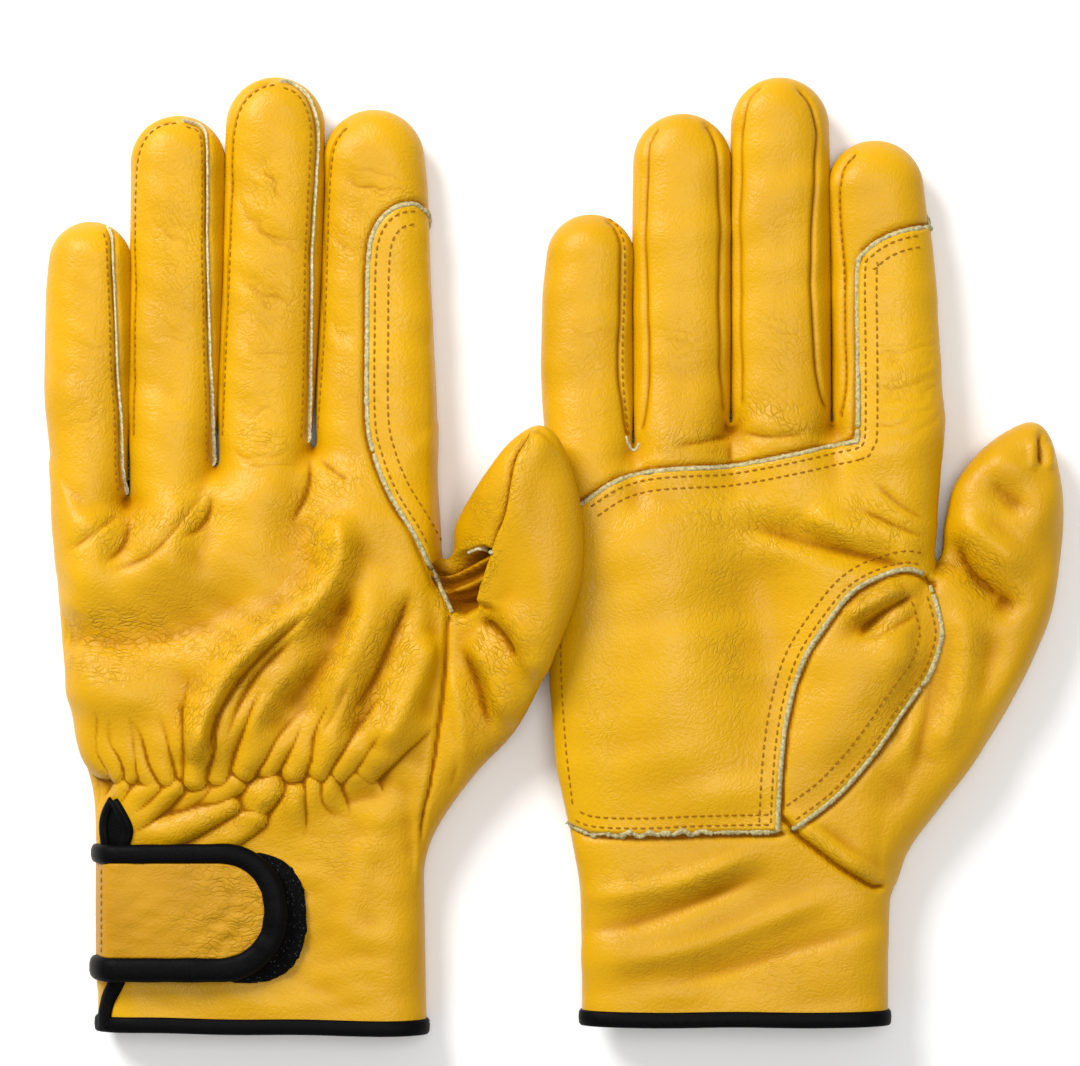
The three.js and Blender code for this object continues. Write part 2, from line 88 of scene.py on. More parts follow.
def resample(dense, step):
    lengths = np.r_[0, np.cumsum(np.linalg.norm(np.diff(dense, axis=0), axis=1))]
    count = max(int(round(lengths[-1] / step)), 2)
    at = np.linspace(0, lengths[-1], count + 1)
    return np.column_stack([np.interp(at, lengths, dense[:, i]) for i in range(dense.shape[1])])


def tangents(path):
    d = np.gradient(path, axis=0)
    return d / np.maximum(np.linalg.norm(d, axis=1, keepdims=True), 1e-9)


def shifted(path, by):
    """The path moved sideways, to its left when by is positive."""
    t = tangents(path)
    return path + by * np.column_stack([-t[:, 1], t[:, 0]])


def measure(path, x, y, reach):
    """For points within reach of the path's box: distance, side (left is positive) and share along it."""
    far = np.full(x.shape, 1e3)
    side = np.ones(x.shape)
    along = np.zeros(x.shape)
    lo, hi = path.min(0) - reach, path.max(0) + reach
    near = np.flatnonzero((x > lo[0]) & (x < hi[0]) & (y > lo[1]) & (y < hi[1]))
    if len(near):
        px, py = x[near], y[near]
        best = np.full(len(near), 1e9)
        which = np.zeros(len(near), int)
        for i, (a, b) in enumerate(path):
            d = (px - a) ** 2 + (py - b) ** 2
            closer = d < best
            best[closer] = d[closer]
            which[closer] = i
        t = tangents(path)[which]
        dx, dy = px - path[which, 0], py - path[which, 1]
        across = t[:, 0] * dy - t[:, 1] * dx
        further = (t[:, 0] * dx + t[:, 1] * dy) / np.linalg.norm(path[1] - path[0])
        ends = (which == 0) | (which == len(path) - 1)
        far[near] = np.where(ends, np.sqrt(best), np.abs(across))
        side[near] = np.sign(across)
        along[near] = np.clip((which + np.clip(further, -0.5, 0.5)) / (len(path) - 1), 0, 1)
    return far, side, along


def inside_depth(outline, x, y):
    """Depth inside a closed outline, negative outside."""
    a = outline
    b = np.roll(outline, -1, axis=0)
    best = np.full(x.shape, 1e9)
    odd = np.zeros(x.shape, bool)
    for (ax, ay), (bx, by) in zip(a, b):
        ex, ey = bx - ax, by - ay
        t = np.clip(((x - ax) * ex + (y - ay) * ey) / max(ex * ex + ey * ey, 1e-9), 0, 1)
        best = np.minimum(best, (x - ax - t * ex) ** 2 + (y - ay - t * ey) ** 2)
        if ay != by:
            crosses = (ay > y) != (by > y)
            odd ^= crosses & (x < ex * (y - ay) / (by - ay) + ax)
    return np.where(odd, 1, -1) * np.sqrt(best)


def smoothstep(x, a, b):
    t = np.clip((x - a) / (b - a), 0, 1)
    return t * t * (3 - 2 * t)


def bell(x, width):
    return np.exp(-(x / width) ** 2)


def waves(x, y, size, seed, count=7, squash=1.0, angle=0.0):
    """Smooth noise from -1 to 1 with features of about the given size; squash below 1 draws them out."""
    r = np.random.default_rng(seed)
    c, s = math.cos(angle), math.sin(angle)
    u = (x * c + y * s) * squash
    v = -x * s + y * c
    total = np.zeros(np.shape(x))
    for _ in range(count):
        turn = r.uniform(0, 2 * math.pi)
        k = 2 * math.pi / (size * r.uniform(0.7, 1.5))
        total += np.sin(k * (u * math.cos(turn) + v * math.sin(turn)) + r.uniform(0, 2 * math.pi))
    return total / (0.8 * math.sqrt(count) * 1.6)


# ------------------------------------------------------------------ the shapes of the two gloves

# hand: rows of y, little-side x, thumb-side x, low z, high z
# fingers: discs of x, y, radius up the middle of each finger
# webs: the points between two fingers where their sides meet
# parting: the height of the seam between the back and the palm
# hem: the y where the leather ends; hem_tape: the y of its binding at the cuff's two sides
# starts: the y where each finger begins to bend
LEFT = {
    "side": "left",
    "parting": 8.4,
    "hem": -123.6,
    "hem_tape": (-122.4, -123.5),
    "hand": [(-132, -119.9, -33.4, 0.5, 16.6), (-104, -119.8, -33.9, 0.5, 16.6),
             (-77, -119.8, -34.4, 0.5, 17), (-61, -121.0, -33.4, 0.4, 18.5),
             (-46, -125.4, -31.0, 0.2, 21), (-25, -128.9, -29.0, 0.1, 22),
             (5, -131.0, -29.6, 0.1, 21.5), (28, -132.1, -31.2, 0.1, 18.5), (42, -132.4, -31.9, 0.1, 17.5)],
    "webs": [(-134, 25), (-124, 17), (-112.1, 14.0), (-89.3, 22.6), (-63.7, 27.6), (-30, 34)],
    "fingers": {
        "little": [(-121.4, -2, 8.0), (-122.0, 24, 10.2), (-122.5, 45, 10.7), (-122.3, 68, 10.5),
                   (-121.9, 76.8, 10.1)],
        "ring": [(-100.6, 10, 10.8), (-100.2, 40, 11.2), (-99.2, 75, 11.6), (-98.9, 95, 11.6),
                 (-98.8, 103, 11.7)],
        "middle": [(-76.3, 15, 11.8), (-75.8, 40, 12.0), (-74.2, 75, 12.3), (-73.5, 100, 12.4),
                   (-73.3, 112.6, 12.2)],
        "index": [(-47.0, 8, 12.5), (-46.6, 28, 15.7), (-46.8, 42, 15.0), (-46.9, 70, 13.7),
                  (-46.9, 96, 12.8), (-47.4, 103.8, 12.5)],
    },
    "finger_z": (0.3, 16.4),
    "thumb": [(-36, -84), (-30.2, -70.5), (-20.5, -57.0), (-10.3, -45.9), (-2.3, -30.5), (4.4, -15.1),
              (7.2, -3.3), (7.0, 11.4), (4.4, 22.4), (1.0, 30.2), (-3.6, 33.4), (-8.5, 31.6), (-14.2, 26.5),
              (-22.0, 15.1), (-26.0, 7.7), (-26.4, 1.2), (-28.6, -1.6), (-32.5, -3.0), (-41, -6), (-46, -50)],
    "thumb_half": 7.4,
    "thumb_seam": [(-32.6, -2.2), (-30.6, -6.5), (-28.6, -11), (-27.0, -15), (-28.0, -18.4), (-28.3, -27.6),
                   (-29.4, -38.4), (-30.8, -49.1), (-32.4, -59.8), (-34.2, -68.2), (-34.7, -77.9)],
    "starts": {"little": 15, "ring": 20, "middle": 24, "index": 27},
}
RIGHT = {
    "side": "right",
    "parting": 9.0,
    "hem": -121.4,
    "hem_tape": (-120.8, -120.8),
    "hand": [(-132, 7.2, 87.3, 5.0, 19.5), (-104, 7.1, 87.3, 5.0, 19.5), (-86, 6.7, 87.9, 5.0, 19.6),
             (-75, 4.6, 88.8, 4.6, 19.6), (-61, 2.2, 90.4, 3.4, 19.8), (-45, -0.1, 93, 1.4, 20),
             (-25, -1.2, 96.2, 0.3, 20), (0, -2.0, 99.6, 0.2, 19.6), (28, -2.4, 100.6, 0.2, 18.5),
             (42, -2.6, 100.2, 0.2, 17.5)],
    "webs": [(-4, 25), (20.4, 28.0), (46.3, 33.8), (72.7, 34.0), (103, 36)],
    "fingers": {
        "little": [(9.4, 6, 9.0), (9.0, 28, 11.0), (8.6, 50, 11.4), (8.7, 68, 11.1), (9.5, 78.0, 10.8)],
        "ring": [(33.3, 20, 12.0), (33.4, 60, 12.2), (33.4, 95, 12.1), (33.6, 103.1, 12.1)],
        "middle": [(59.5, 22, 12.3), (59.4, 70, 12.4), (59.3, 105, 12.2), (59.2, 112.6, 12.1)],
        "index": [(87.0, 8, 11.0), (87.2, 30, 13.6), (87.0, 48, 13.4), (86.0, 75, 12.7), (84.8, 90, 12.0),
                  (84.2, 96.3, 11.9)],
    },
    "finger_z": (0.3, 16.6),
    "thumb": [(82, -92), (88.8, -87.5), (93.0, -77.1), (100.7, -66.6), (108.5, -56.2), (115.6, -45.7),
              (121.6, -35.2), (126.6, -24.7), (130.5, -14.3), (132.9, 1.4), (133.5, 11.9), (132.3, 22.4),
              (129.8, 31.0), (125.5, 34.6), (119, 32.4), (112.2, 27.8), (107.4, 22.4), (104.3, 17.1),
              (102.2, 8), (100.5, -2), (90, -12), (78, -50)],
    "thumb_half": 8.6,
    "thumb_seam": [(101, 4), (98.5, -8), (97.0, -20), (94.6, -38), (92.0, -58), (89.4, -84)],
    "starts": {"little": 30, "ring": 32.5, "middle": 33, "index": 33},
}
BLEND_LENGTH = 18           # the length over which a finger's root bends
REST_HEIGHT = 0.25          # below this the leather is pressed flat by the table
PRESS_SHARE = 0.2           # how much of a fold is left there


def even_rows(rows, y):
    """The rows of a hand, smoothed, at each y."""
    table = np.array(rows, float)
    fine = np.arange(table[0, 0], table[-1, 0] + 1)
    kernel = np.hanning(15)
    kernel /= kernel.sum()
    out = []
    for column in table.T[1:]:
        line = np.interp(fine, table[:, 0], column)
        padded = np.pad(line, len(kernel) // 2, mode="edge")
        out.append(np.interp(y, fine, np.convolve(padded, kernel, mode="valid")))
    return out


def disc_depth(discs, x, y):
    path = resample(np.array(discs, float), 1.2)
    best = np.full(x.shape, -1e9)
    for cx, cy, r in path:
        best = np.maximum(best, r - np.hypot(x - cx, y - cy))
    return best


def pillow(depth, z, low, high, top_edge, low_edge):
    """A field that is negative inside a flat form with rolled edges: depth is how far inside its outline."""
    middle = (low + high) / 2
    half = (high - low) / 2
    edge = np.where(z > middle, top_edge, low_edge)
    a = 1 - np.clip(depth / edge, -1.5, 1)
    b = np.abs(z - middle) / half
    return (a**EDGE_POWER + b**EDGE_POWER) ** (1 / EDGE_POWER) - 1


def blend_min(a, b, k):
    h = np.clip(0.5 + 0.5 * (b - a) / k, 0, 1)
    return b + (a - b) * h - k * h * (1 - h)


class Form:
    """One glove's plan depths and its field on a grid."""

    def __init__(self, glove):
        self.glove = glove
        right = glove["side"] == "right"
        x0, x1 = (-7, 137) if right else (-137, 11)
        z1 = 24 if right else 38
        self.x = np.arange(x0, x1, VOXEL)
        self.y = np.arange(-131, 129, VOXEL)
        self.z = np.arange(-2, z1, VOXEL)

    def hand_depth(self, x, y, inset=0.0):
        little, thumb, low, high = even_rows(self.glove["hand"], y)
        webs = np.array(self.glove["webs"], float)
        root = np.interp(x, webs[:, 0], webs[:, 1])
        depth = np.minimum(np.minimum(x - little, thumb - x), 1.1 * (root - y))
        inset = inset * (1 + 2 * smoothstep(y, -112, -80))
        return depth - inset, low + inset, high - inset

    def finger_depths(self, x, y):
        return {name: disc_depth(discs, x, y) for name, discs in self.glove["fingers"].items()}

    def thumb_depth(self, x, y):
        return inside_depth(curve(self.glove["thumb"] + self.glove["thumb"][:1], 2.0), x, y)

    def thumb_middle(self, x, y):
        """The height of the thumb's middle: the left one climbs over the other glove's edge."""
        if self.glove["side"] == "right":
            return 9.6 + 0 * x
        climb = smoothstep(x + 0.28 * (y + 20), -26, 2)
        return 10.5 + 16.5 * climb

    def field(self):
        x, y = np.meshgrid(self.x, self.y, indexing="ij")
        z = self.z[None, None, :]
        depth, low, high = self.hand_depth(x, y)
        total = pillow(depth[..., None], z, low[..., None], high[..., None], TOP_ROLL, LOW_ROLL)
        fingers = None
        low, high = self.glove["finger_z"]
        high = (high + 2.2 * (1 - smoothstep(y, 18, 70)))[..., None]
        for depth in self.finger_depths(x, y).values():
            one = pillow(depth[..., None], z, low, high, 10.5, 8.0)
            fingers = one if fingers is None else np.minimum(fingers, one)
        total = blend_min(total, fingers, 0.22)
        depth = self.thumb_depth(x, y)
        middle = self.thumb_middle(x, y)
        half = self.glove["thumb_half"]
        thumb = pillow(depth[..., None], z, (middle - half)[..., None], (middle + half)[..., None], 11.0, 9.0)
        return blend_min(total, thumb, 0.22)

    def lining_field(self):
        x, y = np.meshgrid(self.x, self.y, indexing="ij")
        depth, low, high = self.hand_depth(x, y, inset=1.9)
        depth = np.minimum(depth, 1.5 * (-40 - y))
        return pillow(depth[..., None], self.z[None, None, :], low[..., None], high[..., None], 10.5, 7.0)

    def mesh(self, field):
        grid = openvdb.FloatGrid(1.0)
        grid.copyFromArray(np.ascontiguousarray(field.astype(np.float32)))
        points, quads = grid.convertToQuads(0.0)
        points = points * VOXEL + np.array([self.x[0], self.y[0], self.z[0]])
        return points.astype(float), quads.astype(int)


# ------------------------------------------------------------------ mesh helpers

def vertex_normals(points, quads):
    a, b, c, d = (points[quads[:, i]] for i in range(4))
    n = np.cross(c - a, d - b)
    out = np.zeros_like(points)
    for i in range(4):
        np.add.at(out, quads[:, i], n)
    return out / np.maximum(np.linalg.norm(out, axis=1, keepdims=True), 1e-12)


def relax(points, quads, rounds, share=0.5):
    """Laplacian smoothing, to take the grid's steps out."""
    edges = np.vstack([quads[:, [i, (i + 1) % 4]] for i in range(4)])
    a, b = np.r_[edges[:, 0], edges[:, 1]], np.r_[edges[:, 1], edges[:, 0]]
    count = np.bincount(a, minlength=len(points))[:, None]
    for _ in range(rounds):
        total = np.column_stack([np.bincount(a, points[b, i], len(points)) for i in range(3)])
        points = points + share * (total / count - points)
    return points


def hollowness(points, quads, normals):
    """How hollow the surface is at each point, from -1 on a ridge to 1 in a crease."""
    fine = relax(points, quads, 4)
    broad = relax(fine, quads, 36)
    near = ((fine - points) * normals).sum(1) / 0.13
    far = ((broad - points) * normals).sum(1) / 0.85
    return np.clip(0.6 * near + 0.5 * far, -1, 1)


def keep_faces(points, faces, keep):
    faces = faces[keep]
    used = np.unique(faces)
    index = np.full(len(points), -1)
    index[used] = np.arange(len(used))
    return points[used], index[faces], used


def add_mesh(name, points, faces, material, normals=None, attributes=None):
    mesh = bpy.data.meshes.new(name)
    mesh.from_pydata((np.asarray(points) * MM).tolist(), [], [list(map(int, f)) for f in faces])
    mesh.polygons.foreach_set("use_smooth", np.ones(len(mesh.polygons), bool))
    mesh.materials.append(material)
    mesh.update()
    for key, values in (attributes or {}).items():
        mesh.attributes.new(key, "FLOAT", "POINT").data.foreach_set("value", values.astype(np.float32))
    if normals is not None:
        mesh.normals_split_custom_set_from_vertices(normals.tolist())
    obj = bpy.data.objects.new(name, mesh)
    bpy.context.scene.collection.objects.link(obj)
    return obj


class Soup:
    """Collects many small meshes into one object's points and faces."""

    def __init__(self):
        self.points = []
        self.faces = []
        self.count = 0

    def add(self, points, faces):
        self.points.append(np.asarray(points, float))
        self.faces.extend([[i + self.count for i in f] for f in faces])
        self.count += len(points)

    def make(self, name, material):
        return add_mesh(name, np.vstack(self.points), self.faces, material)


def ring_faces(rings, size, loop=False):
    """Faces between rings of points; unless it is a loop, the two ends are closed."""
    faces = []
    last = rings if loop else rings - 1
    for i in range(last):
        for j in range(size):
            a, b = i * size, ((i + 1) % rings) * size
            k = (j + 1) % size
            faces.append([a + j, a + k, b + k, b + j])
    if not loop:
        faces.append(list(range(size))[::-1])
        faces.append([(rings - 1) * size + j for j in range(size)])
    return faces


def sweep(path, normals, section, loop=False, scale=None):
    """A closed tube: section points (across, out) carried along a 3-D path with the surface normals given."""
    path = np.asarray(path, float)
    if loop:
        d = np.roll(path, -1, axis=0) - np.roll(path, 1, axis=0)
    else:
        d = np.gradient(path, axis=0)
    d /= np.maximum(np.linalg.norm(d, axis=1, keepdims=True), 1e-9)
    across = np.cross(d, normals)
    across /= np.maximum(np.linalg.norm(across, axis=1, keepdims=True), 1e-9)
    out = np.cross(across, d)
    section = np.asarray(section, float)
    scale = np.ones(len(path)) if scale is None else scale
    points = (path[:, None, :] + scale[:, None, None] * (section[None, :, :1] * across[:, None, :]
                                                         + section[None, :, 1:] * out[:, None, :]))
    return points.reshape(-1, 3), ring_faces(len(path), len(section), loop=loop)


def oval(width, height, sides=10, power=1.0):
    """Points round an oval; a power below 1 squares its corners."""
    t = np.linspace(0, 2 * math.pi, sides, endpoint=False)
    c, s = np.cos(t), np.sin(t)
    return np.column_stack([width / 2 * np.sign(c) * np.abs(c) ** power,
                            height / 2 * np.sign(s) * np.abs(s) ** power])


# ------------------------------------------------------------------ materials

# the ways fine creases run on the leather, as turns from level in plan
CREASE_WAYS = {"level": 0.0, "rising": 1.0, "falling": -1.0}


class Nodes:
    """Short calls for building a node material."""

    def __init__(self, name):
        self.material = bpy.data.materials.new(name)
        self.material.use_nodes = True
        self.tree = self.material.node_tree
        self.tree.nodes.clear()
        self.out = self.add("ShaderNodeOutputMaterial")
        self.bsdf = self.add("ShaderNodeBsdfPrincipled")
        self.link(self.bsdf, 0, self.out, 0)
        self.where = self.add("ShaderNodeTexCoord")

    def add(self, kind, **values):
        node = self.tree.nodes.new(kind)
        for key, value in values.items():
            if hasattr(node, key):
                setattr(node, key, value)
            else:
                node.inputs[key.replace("_", " ")].default_value = value
        return node

    def link(self, a, i, b, j):
        self.tree.links.new(a.outputs[i], b.inputs[j])

    def noise(self, scale, detail=4.0):
        node = self.add("ShaderNodeTexNoise", Scale=scale, Detail=detail)
        self.link(self.where, "Object", node, "Vector")
        return node

    def cells(self, scale, feature="DISTANCE_TO_EDGE", warp=None):
        node = self.add("ShaderNodeTexVoronoi", feature=feature)
        node.inputs["Scale"].default_value = scale
        source = self.where if warp is None else warp
        self.link(source, "Object" if warp is None else 0, node, "Vector")
        return node

    def net(self, source, turn, way):
        """Fine creases drawn out along one direction, as strong as the mesh attribute of that name says."""
        along = self.add("ShaderNodeMapping", vector_type="TEXTURE")
        along.inputs["Rotation"].default_value = (0, 0, turn)
        along.inputs["Scale"].default_value = (3.0, 1, 1)
        self.link(source, 0, along, "Vector")
        lines = self.ramp(self.cells(760, warp=along), 0, [(0.0, grey(1)), (0.06, grey(0.5)), (0.2, grey(0))])
        patchy = self.ramp(self.noise(260, 1), 0, [(0.36, grey(0.3)), (0.62, grey(0.9))])
        asked = self.add("ShaderNodeAttribute", attribute_name=way)
        return self.product(lines, 0, self.product(patchy, 0, asked, "Fac"), 0)

    def product(self, a, i, b, j):
        """One value times another."""
        node = self.add("ShaderNodeMath", operation="MULTIPLY")
        self.link(a, i, node, 0)
        self.link(b, j, node, 1)
        return node

    def multiply(self, a, i, b, j):
        """One colour darkened by another."""
        node = self.add("ShaderNodeMix", data_type="RGBA", blend_type="MULTIPLY")
        node.inputs[0].default_value = 1.0
        self.link(a, i, node, 6)
        self.link(b, j, node, 7)
        return node

    def scaled(self, source, output, by, plus):
        """A value times one number, plus another."""
        node = self.add("ShaderNodeMath", operation="MULTIPLY_ADD")
        node.inputs[1].default_value = by
        node.inputs[2].default_value = plus
        self.link(source, output, node, 0)
        return node

    def scaled_sum(self, terms):
        """The weighted sum of several nodes' first outputs."""
        total = None
        for node, weight in terms:
            step = self.scaled(node, 0, weight, 0.0)
            if total is not None:
                self.link(total, 0, step, 2)
            total = step
        return total

    def ramp(self, source, output, stops):
        node = self.add("ShaderNodeValToRGB")
        elements = node.color_ramp.elements
        for element, (place, colour) in zip(elements, (stops[0], stops[-1])):
            element.position = place
            element.color = colour
        for place, colour in stops[1:-1]:
            elements.new(place).color = colour
        self.link(source, output, node, 0)
        return node

    def bump(self, source, output, strength, distance):
        node = self.add("ShaderNodeBump")
        node.inputs["Strength"].default_value = strength
        node.inputs["Distance"].default_value = distance
        self.link(source, output, node, "Height")
        self.link(node, 0, self.bsdf, "Normal")


def rgb(r, g, b):
    return (r, g, b, 1.0)


def grey(v):
    return rgb(v, v, v)


def leather(name, dark, mid, light, roughness, pebble):
    """Satin grain leather: fine pebbles, painted shade in the hollows and along the fine crease lines, and
    nets of creases wherever the mesh asks.
    """
    m = Nodes(name)
    broad = m.noise(45, 2)
    fine = m.noise(900, 3)
    wobble = m.noise(170, 2)
    bent = m.add("ShaderNodeVectorMath", operation="MULTIPLY_ADD")
    bent.inputs[1].default_value = (0.005, 0.005, 0.005)
    m.link(wobble, 1, bent, 0)
    m.link(m.where, "Object", bent, 2)
    creases = m.scaled_sum([(m.net(bent, turn, way), 1.0) for way, turn in CREASE_WAYS.items()])
    pebbles = m.cells(1250, "F1", bent)
    base = m.ramp(broad, 0, [(0.3, dark), (0.5, mid), (0.72, light)])
    # painted shade: the fine crease lines darken the colour by up to 22 percent
    colour = m.multiply(base, 0, m.scaled(creases, 0, -0.22, 1.0), 0)
    # painted shade from the mesh's hollow attribute: browner and darker in creases and hollows, a touch
    # lighter on ridges (painted highlight)
    hollow = m.add("ShaderNodeAttribute", attribute_name="hollow")
    place = m.scaled(hollow, "Fac", 0.5, 0.5)
    shade_tint = m.ramp(place, 0, [(0.0, grey(1)), (0.5, rgb(0.97, 0.955, 0.93)), (0.7, rgb(0.81, 0.71, 0.45)),
                             (1.0, rgb(0.44, 0.285, 0.07))])
    shaded_colour = m.multiply(colour, 2, shade_tint, 0)
    m.link(shaded_colour, 2, m.bsdf, "Base Color")
    rough = m.ramp(fine, 0, [(0.25, grey(roughness - 0.05)), (0.8, grey(roughness + 0.08))])
    m.link(rough, 0, m.bsdf, "Roughness")
    # the painted shade also dims the specular reflection in the hollows
    shaded_gloss = m.ramp(place, 0, [(0.5, grey(0.23)), (0.9, grey(0.03))])
    m.link(shaded_gloss, 0, m.bsdf, "Specular IOR Level")
    height = m.scaled_sum([(pebbles, -pebble), (creases, -0.8), (fine, 0.3)])
    m.bump(height, 0, 1.0, 0.00025)
    return m.material


def cloth(name, dark, light, roughness, scale, strength, distance, specular=0.3):
    m = Nodes(name)
    fuzz = m.noise(scale, 6)
    colour = m.ramp(fuzz, 0, [(0.3, dark), (0.75, light)])
    m.link(colour, 0, m.bsdf, "Base Color")
    m.bsdf.inputs["Roughness"].default_value = roughness
    m.bsdf.inputs["Specular IOR Level"].default_value = specular
    m.bump(fuzz, 0, strength, distance)
    return m.material


def fuzzy(name):
    """Black pile with a few pale glints from its loops, painted into its colour as painted highlights."""
    m = Nodes(name)
    painted_glints = m.cells(1100, feature="F1")
    colour = m.ramp(painted_glints, 0, [(0.0, rgb(0.22, 0.22, 0.23)), (0.13, rgb(0.02, 0.02, 0.022)),
                                (0.3, grey(0.002)), (1.0, grey(0.001))])
    m.link(colour, 0, m.bsdf, "Base Color")
    m.bsdf.inputs["Roughness"].default_value = 0.9
    m.bsdf.inputs["Specular IOR Level"].default_value = 0.1
    m.bump(m.noise(1500, 4), 0, 0.9, 0.0006)
    return m.material


LEATHER = leather("yellow_leather", rgb(0.54, 0.28, 0.0), rgb(0.585, 0.307, 0.0), rgb(0.62, 0.333, 0.0),
                  0.38, 0.3)
PATCH = leather("yellow_patch_leather", rgb(0.58, 0.305, 0.0), rgb(0.62, 0.333, 0.0),
                rgb(0.65, 0.355, 0.001), 0.32, 0.3)
# painted shade: the strap's leather is the yellow leather made darker for the way the strap faces the light
STRAP = leather("yellow_strap_leather", rgb(0.43, 0.205, 0.0), rgb(0.47, 0.232, 0.0),
                rgb(0.51, 0.257, 0.0), 0.5, 0.3)
SUEDE = cloth("suede_inside", rgb(0.50, 0.27, 0.03), rgb(0.68, 0.42, 0.08), 0.95, 900, 0.6, 0.0004)
PATCH_EDGE = cloth("raw_patch_edge", rgb(0.27, 0.225, 0.09), rgb(0.63, 0.55, 0.30),
                   0.95, 1100, 0.9, 0.0006)
RAW_EDGE = cloth("raw_cut_edge", rgb(0.34, 0.29, 0.13), rgb(0.78, 0.70, 0.44), 0.9, 1100, 0.8, 0.0006)
THREAD = cloth("sewing_thread", rgb(0.25, 0.09, 0.001), rgb(0.44, 0.19, 0.003),
               0.7, 3000, 0.5, 0.0002, 0.12)
BINDING = cloth("black_tape", rgb(0.001, 0.001, 0.001), rgb(0.003, 0.003, 0.0035),
                0.5, 1600, 0.35, 0.00025, 0.05)
LOOP = fuzzy("black_loop_pile")
ELASTIC = cloth("woven_elastic", rgb(0.5, 0.46, 0.38), rgb(0.75, 0.72, 0.62), 0.85, 1800, 0.5, 0.0003)


# ------------------------------------------------------------------ folds, creases and raised pieces

def ridge(path_points, x, y, height, left_width, right_width=None, fade=0.2):
    """A rounded fold along a path, fading out at both ends; a negative height makes a crease."""
    right_width = left_width if right_width is None else right_width
    path = curve(path_points)
    far, side, along = measure(path, x, y, 3 * max(left_width, right_width))
    ends = smoothstep(along, 0, fade) * smoothstep(1 - along, 0, fade)
    return height * ends * bell(far, np.where(side > 0, left_width, right_width))


def crack(path_points, x, y, depth, width=0.7, fade=0.3):
    """A narrow crease in a soft valley, with a swelling on either side."""
    return (ridge(path_points, x, y, -0.42 * depth, 1.2 * width, fade=fade)
            + ridge(path_points, x, y, -0.55 * depth, 2.8 * width, fade=1.3 * fade)
            + ridge(path_points, x, y, 0.4 * depth, 6 * width, fade=1.3 * fade))


def blob(x, y, at, size, turn=0.0):
    """A soft-edged oval mask."""
    c, s = math.cos(turn), math.sin(turn)
    u = ((x - at[0]) * c + (y - at[1]) * s) / size[0]
    v = (-(x - at[0]) * s + (y - at[1]) * c) / size[1]
    return np.exp(-(u * u + v * v))


def mound(at, x, y, height, size, turn=0.0):
    """A soft oval rise, or a hollow when the height is negative."""
    return height * blob(x, y, at, size, turn)


def shaped(table, x, y):
    """The sum of a table's ridges, cracks and mounds, each given with its place and sizes."""
    return sum(shape(where, x, y, *sizes) for shape, where, *sizes in table)


def raised_edge(inside, rise, groove):
    """The step up onto a sewn-on layer, with a groove just outside its edge."""
    return rise * smoothstep(inside, -0.3, 0.5) - groove * bell(inside + 1.1, 0.8)


BACK_PATCH = [(-33.4, 89.5), (-36.5, 91.6), (-41.1, 90.8), (-45.0, 87.8), (-47.6, 82.6), (-48.5, 74.7),
              (-48.7, 60), (-48.6, 36), (-46.6, 25.7), (-42.6, 15.8), (-36.5, 5.7), (-31.4, -5.0),
              (-26.4, -15.8)]
# the dark pocket at the left thumb's crotch, and the seam of the leaf of leather beside it
THUMB_POCKET = [(-33, -2.6), (-28, -1.4), (-24, 0.6), (-18.5, 2.2), (-16.0, 0.6), (-18.4, -6.5),
                (-20.6, -13.5), (-24, -15.8), (-27.4, -15.4), (-31.0, -8)]
LEFT_LEAF_SEAM = [(-4.2, 32.5), (-6.6, 29), (-9.5, 23.8), (-11.7, 11.3), (-13.9, 5.5), (-15.4, 1.0),
                  (-18.3, -4.8), (-20.5, -12.9)]
# the palm patch's outline, in the runs that its edge is trimmed in
PATCH_SIDE = [(-1.5, -69), (-3, -30), (-4, 0), (-3, 8)]
PATCH_TOP = [(6.6, 13.0), (15.7, 19.0), (24.4, 21.6), (35.3, 22.5), (43.9, 22.9), (52.6, 24.2),
             (63.5, 26.4), (72.1, 28.4), (77.6, 29.6), (78.9, 31.6), (79.2, 50), (79.2, 74.7),
             (81.3, 79.2), (85.2, 82.2), (90.5, 84.4), (97.2, 85.8)]
INDEX_WRAP = [(103, 86), (106, 40), (103, -6), (97.8, -6.7)]
EYE_ARCH = [(96.2, -4.6), (91.5, -3.5), (85.2, -5.1), (78.9, -8.2), (74.0, -13.0), (66.1, -24.5),
            (62.4, -33.6), (59.8, -45.2), (58.4, -58.0), (57.8, -71.6)]
PATCH_FOOT = [(38.1, -71.9), (22.4, -72.6), (9.3, -72.1), (2.7, -69.6)]
PALM_PATCH = PATCH_SIDE + PATCH_TOP + INDEX_WRAP + EYE_ARCH + PATCH_FOOT
# the thumb's side of the eye-shaped opening that the thenar panel fills
EYE_EDGE = [(97.9, -8), (100.0, -15), (100.7, -21.3), (97.8, -30.5), (94.1, -35.7), (89.9, -41.5),
            (84.7, -49.1), (78.9, -56.4), (71.9, -63.7), (61.9, -71.1)]
THUMB_CUFF_SEAM = [(58.5, -66.9), (63.5, -72.9), (68.5, -76.8), (73.7, -80.8), (78.7, -83.9), (83.6, -86.3),
                   (87.5, -86.0)]
POCKET_DEPTH = 6.2
POCKET_SHADE = 1.35         # how much darker the pocket is painted than its hollowness makes it: painted shade
SIDE_SWELL = 0.85           # how much fuller the fingers stand at their sides
UNDER_SHARE = 0.7           # how much of the folds shows on the face that is pressed flat on the table
GATHER_Y = -58.0
GATHER_PITCH = 6.8
PUFF_DRAW_UP = 1.75         # how far past its own end each puff fades into the folds above
PUFF_DRAW_DOWN = 1.35       # the same for the puffs that point down the cuff
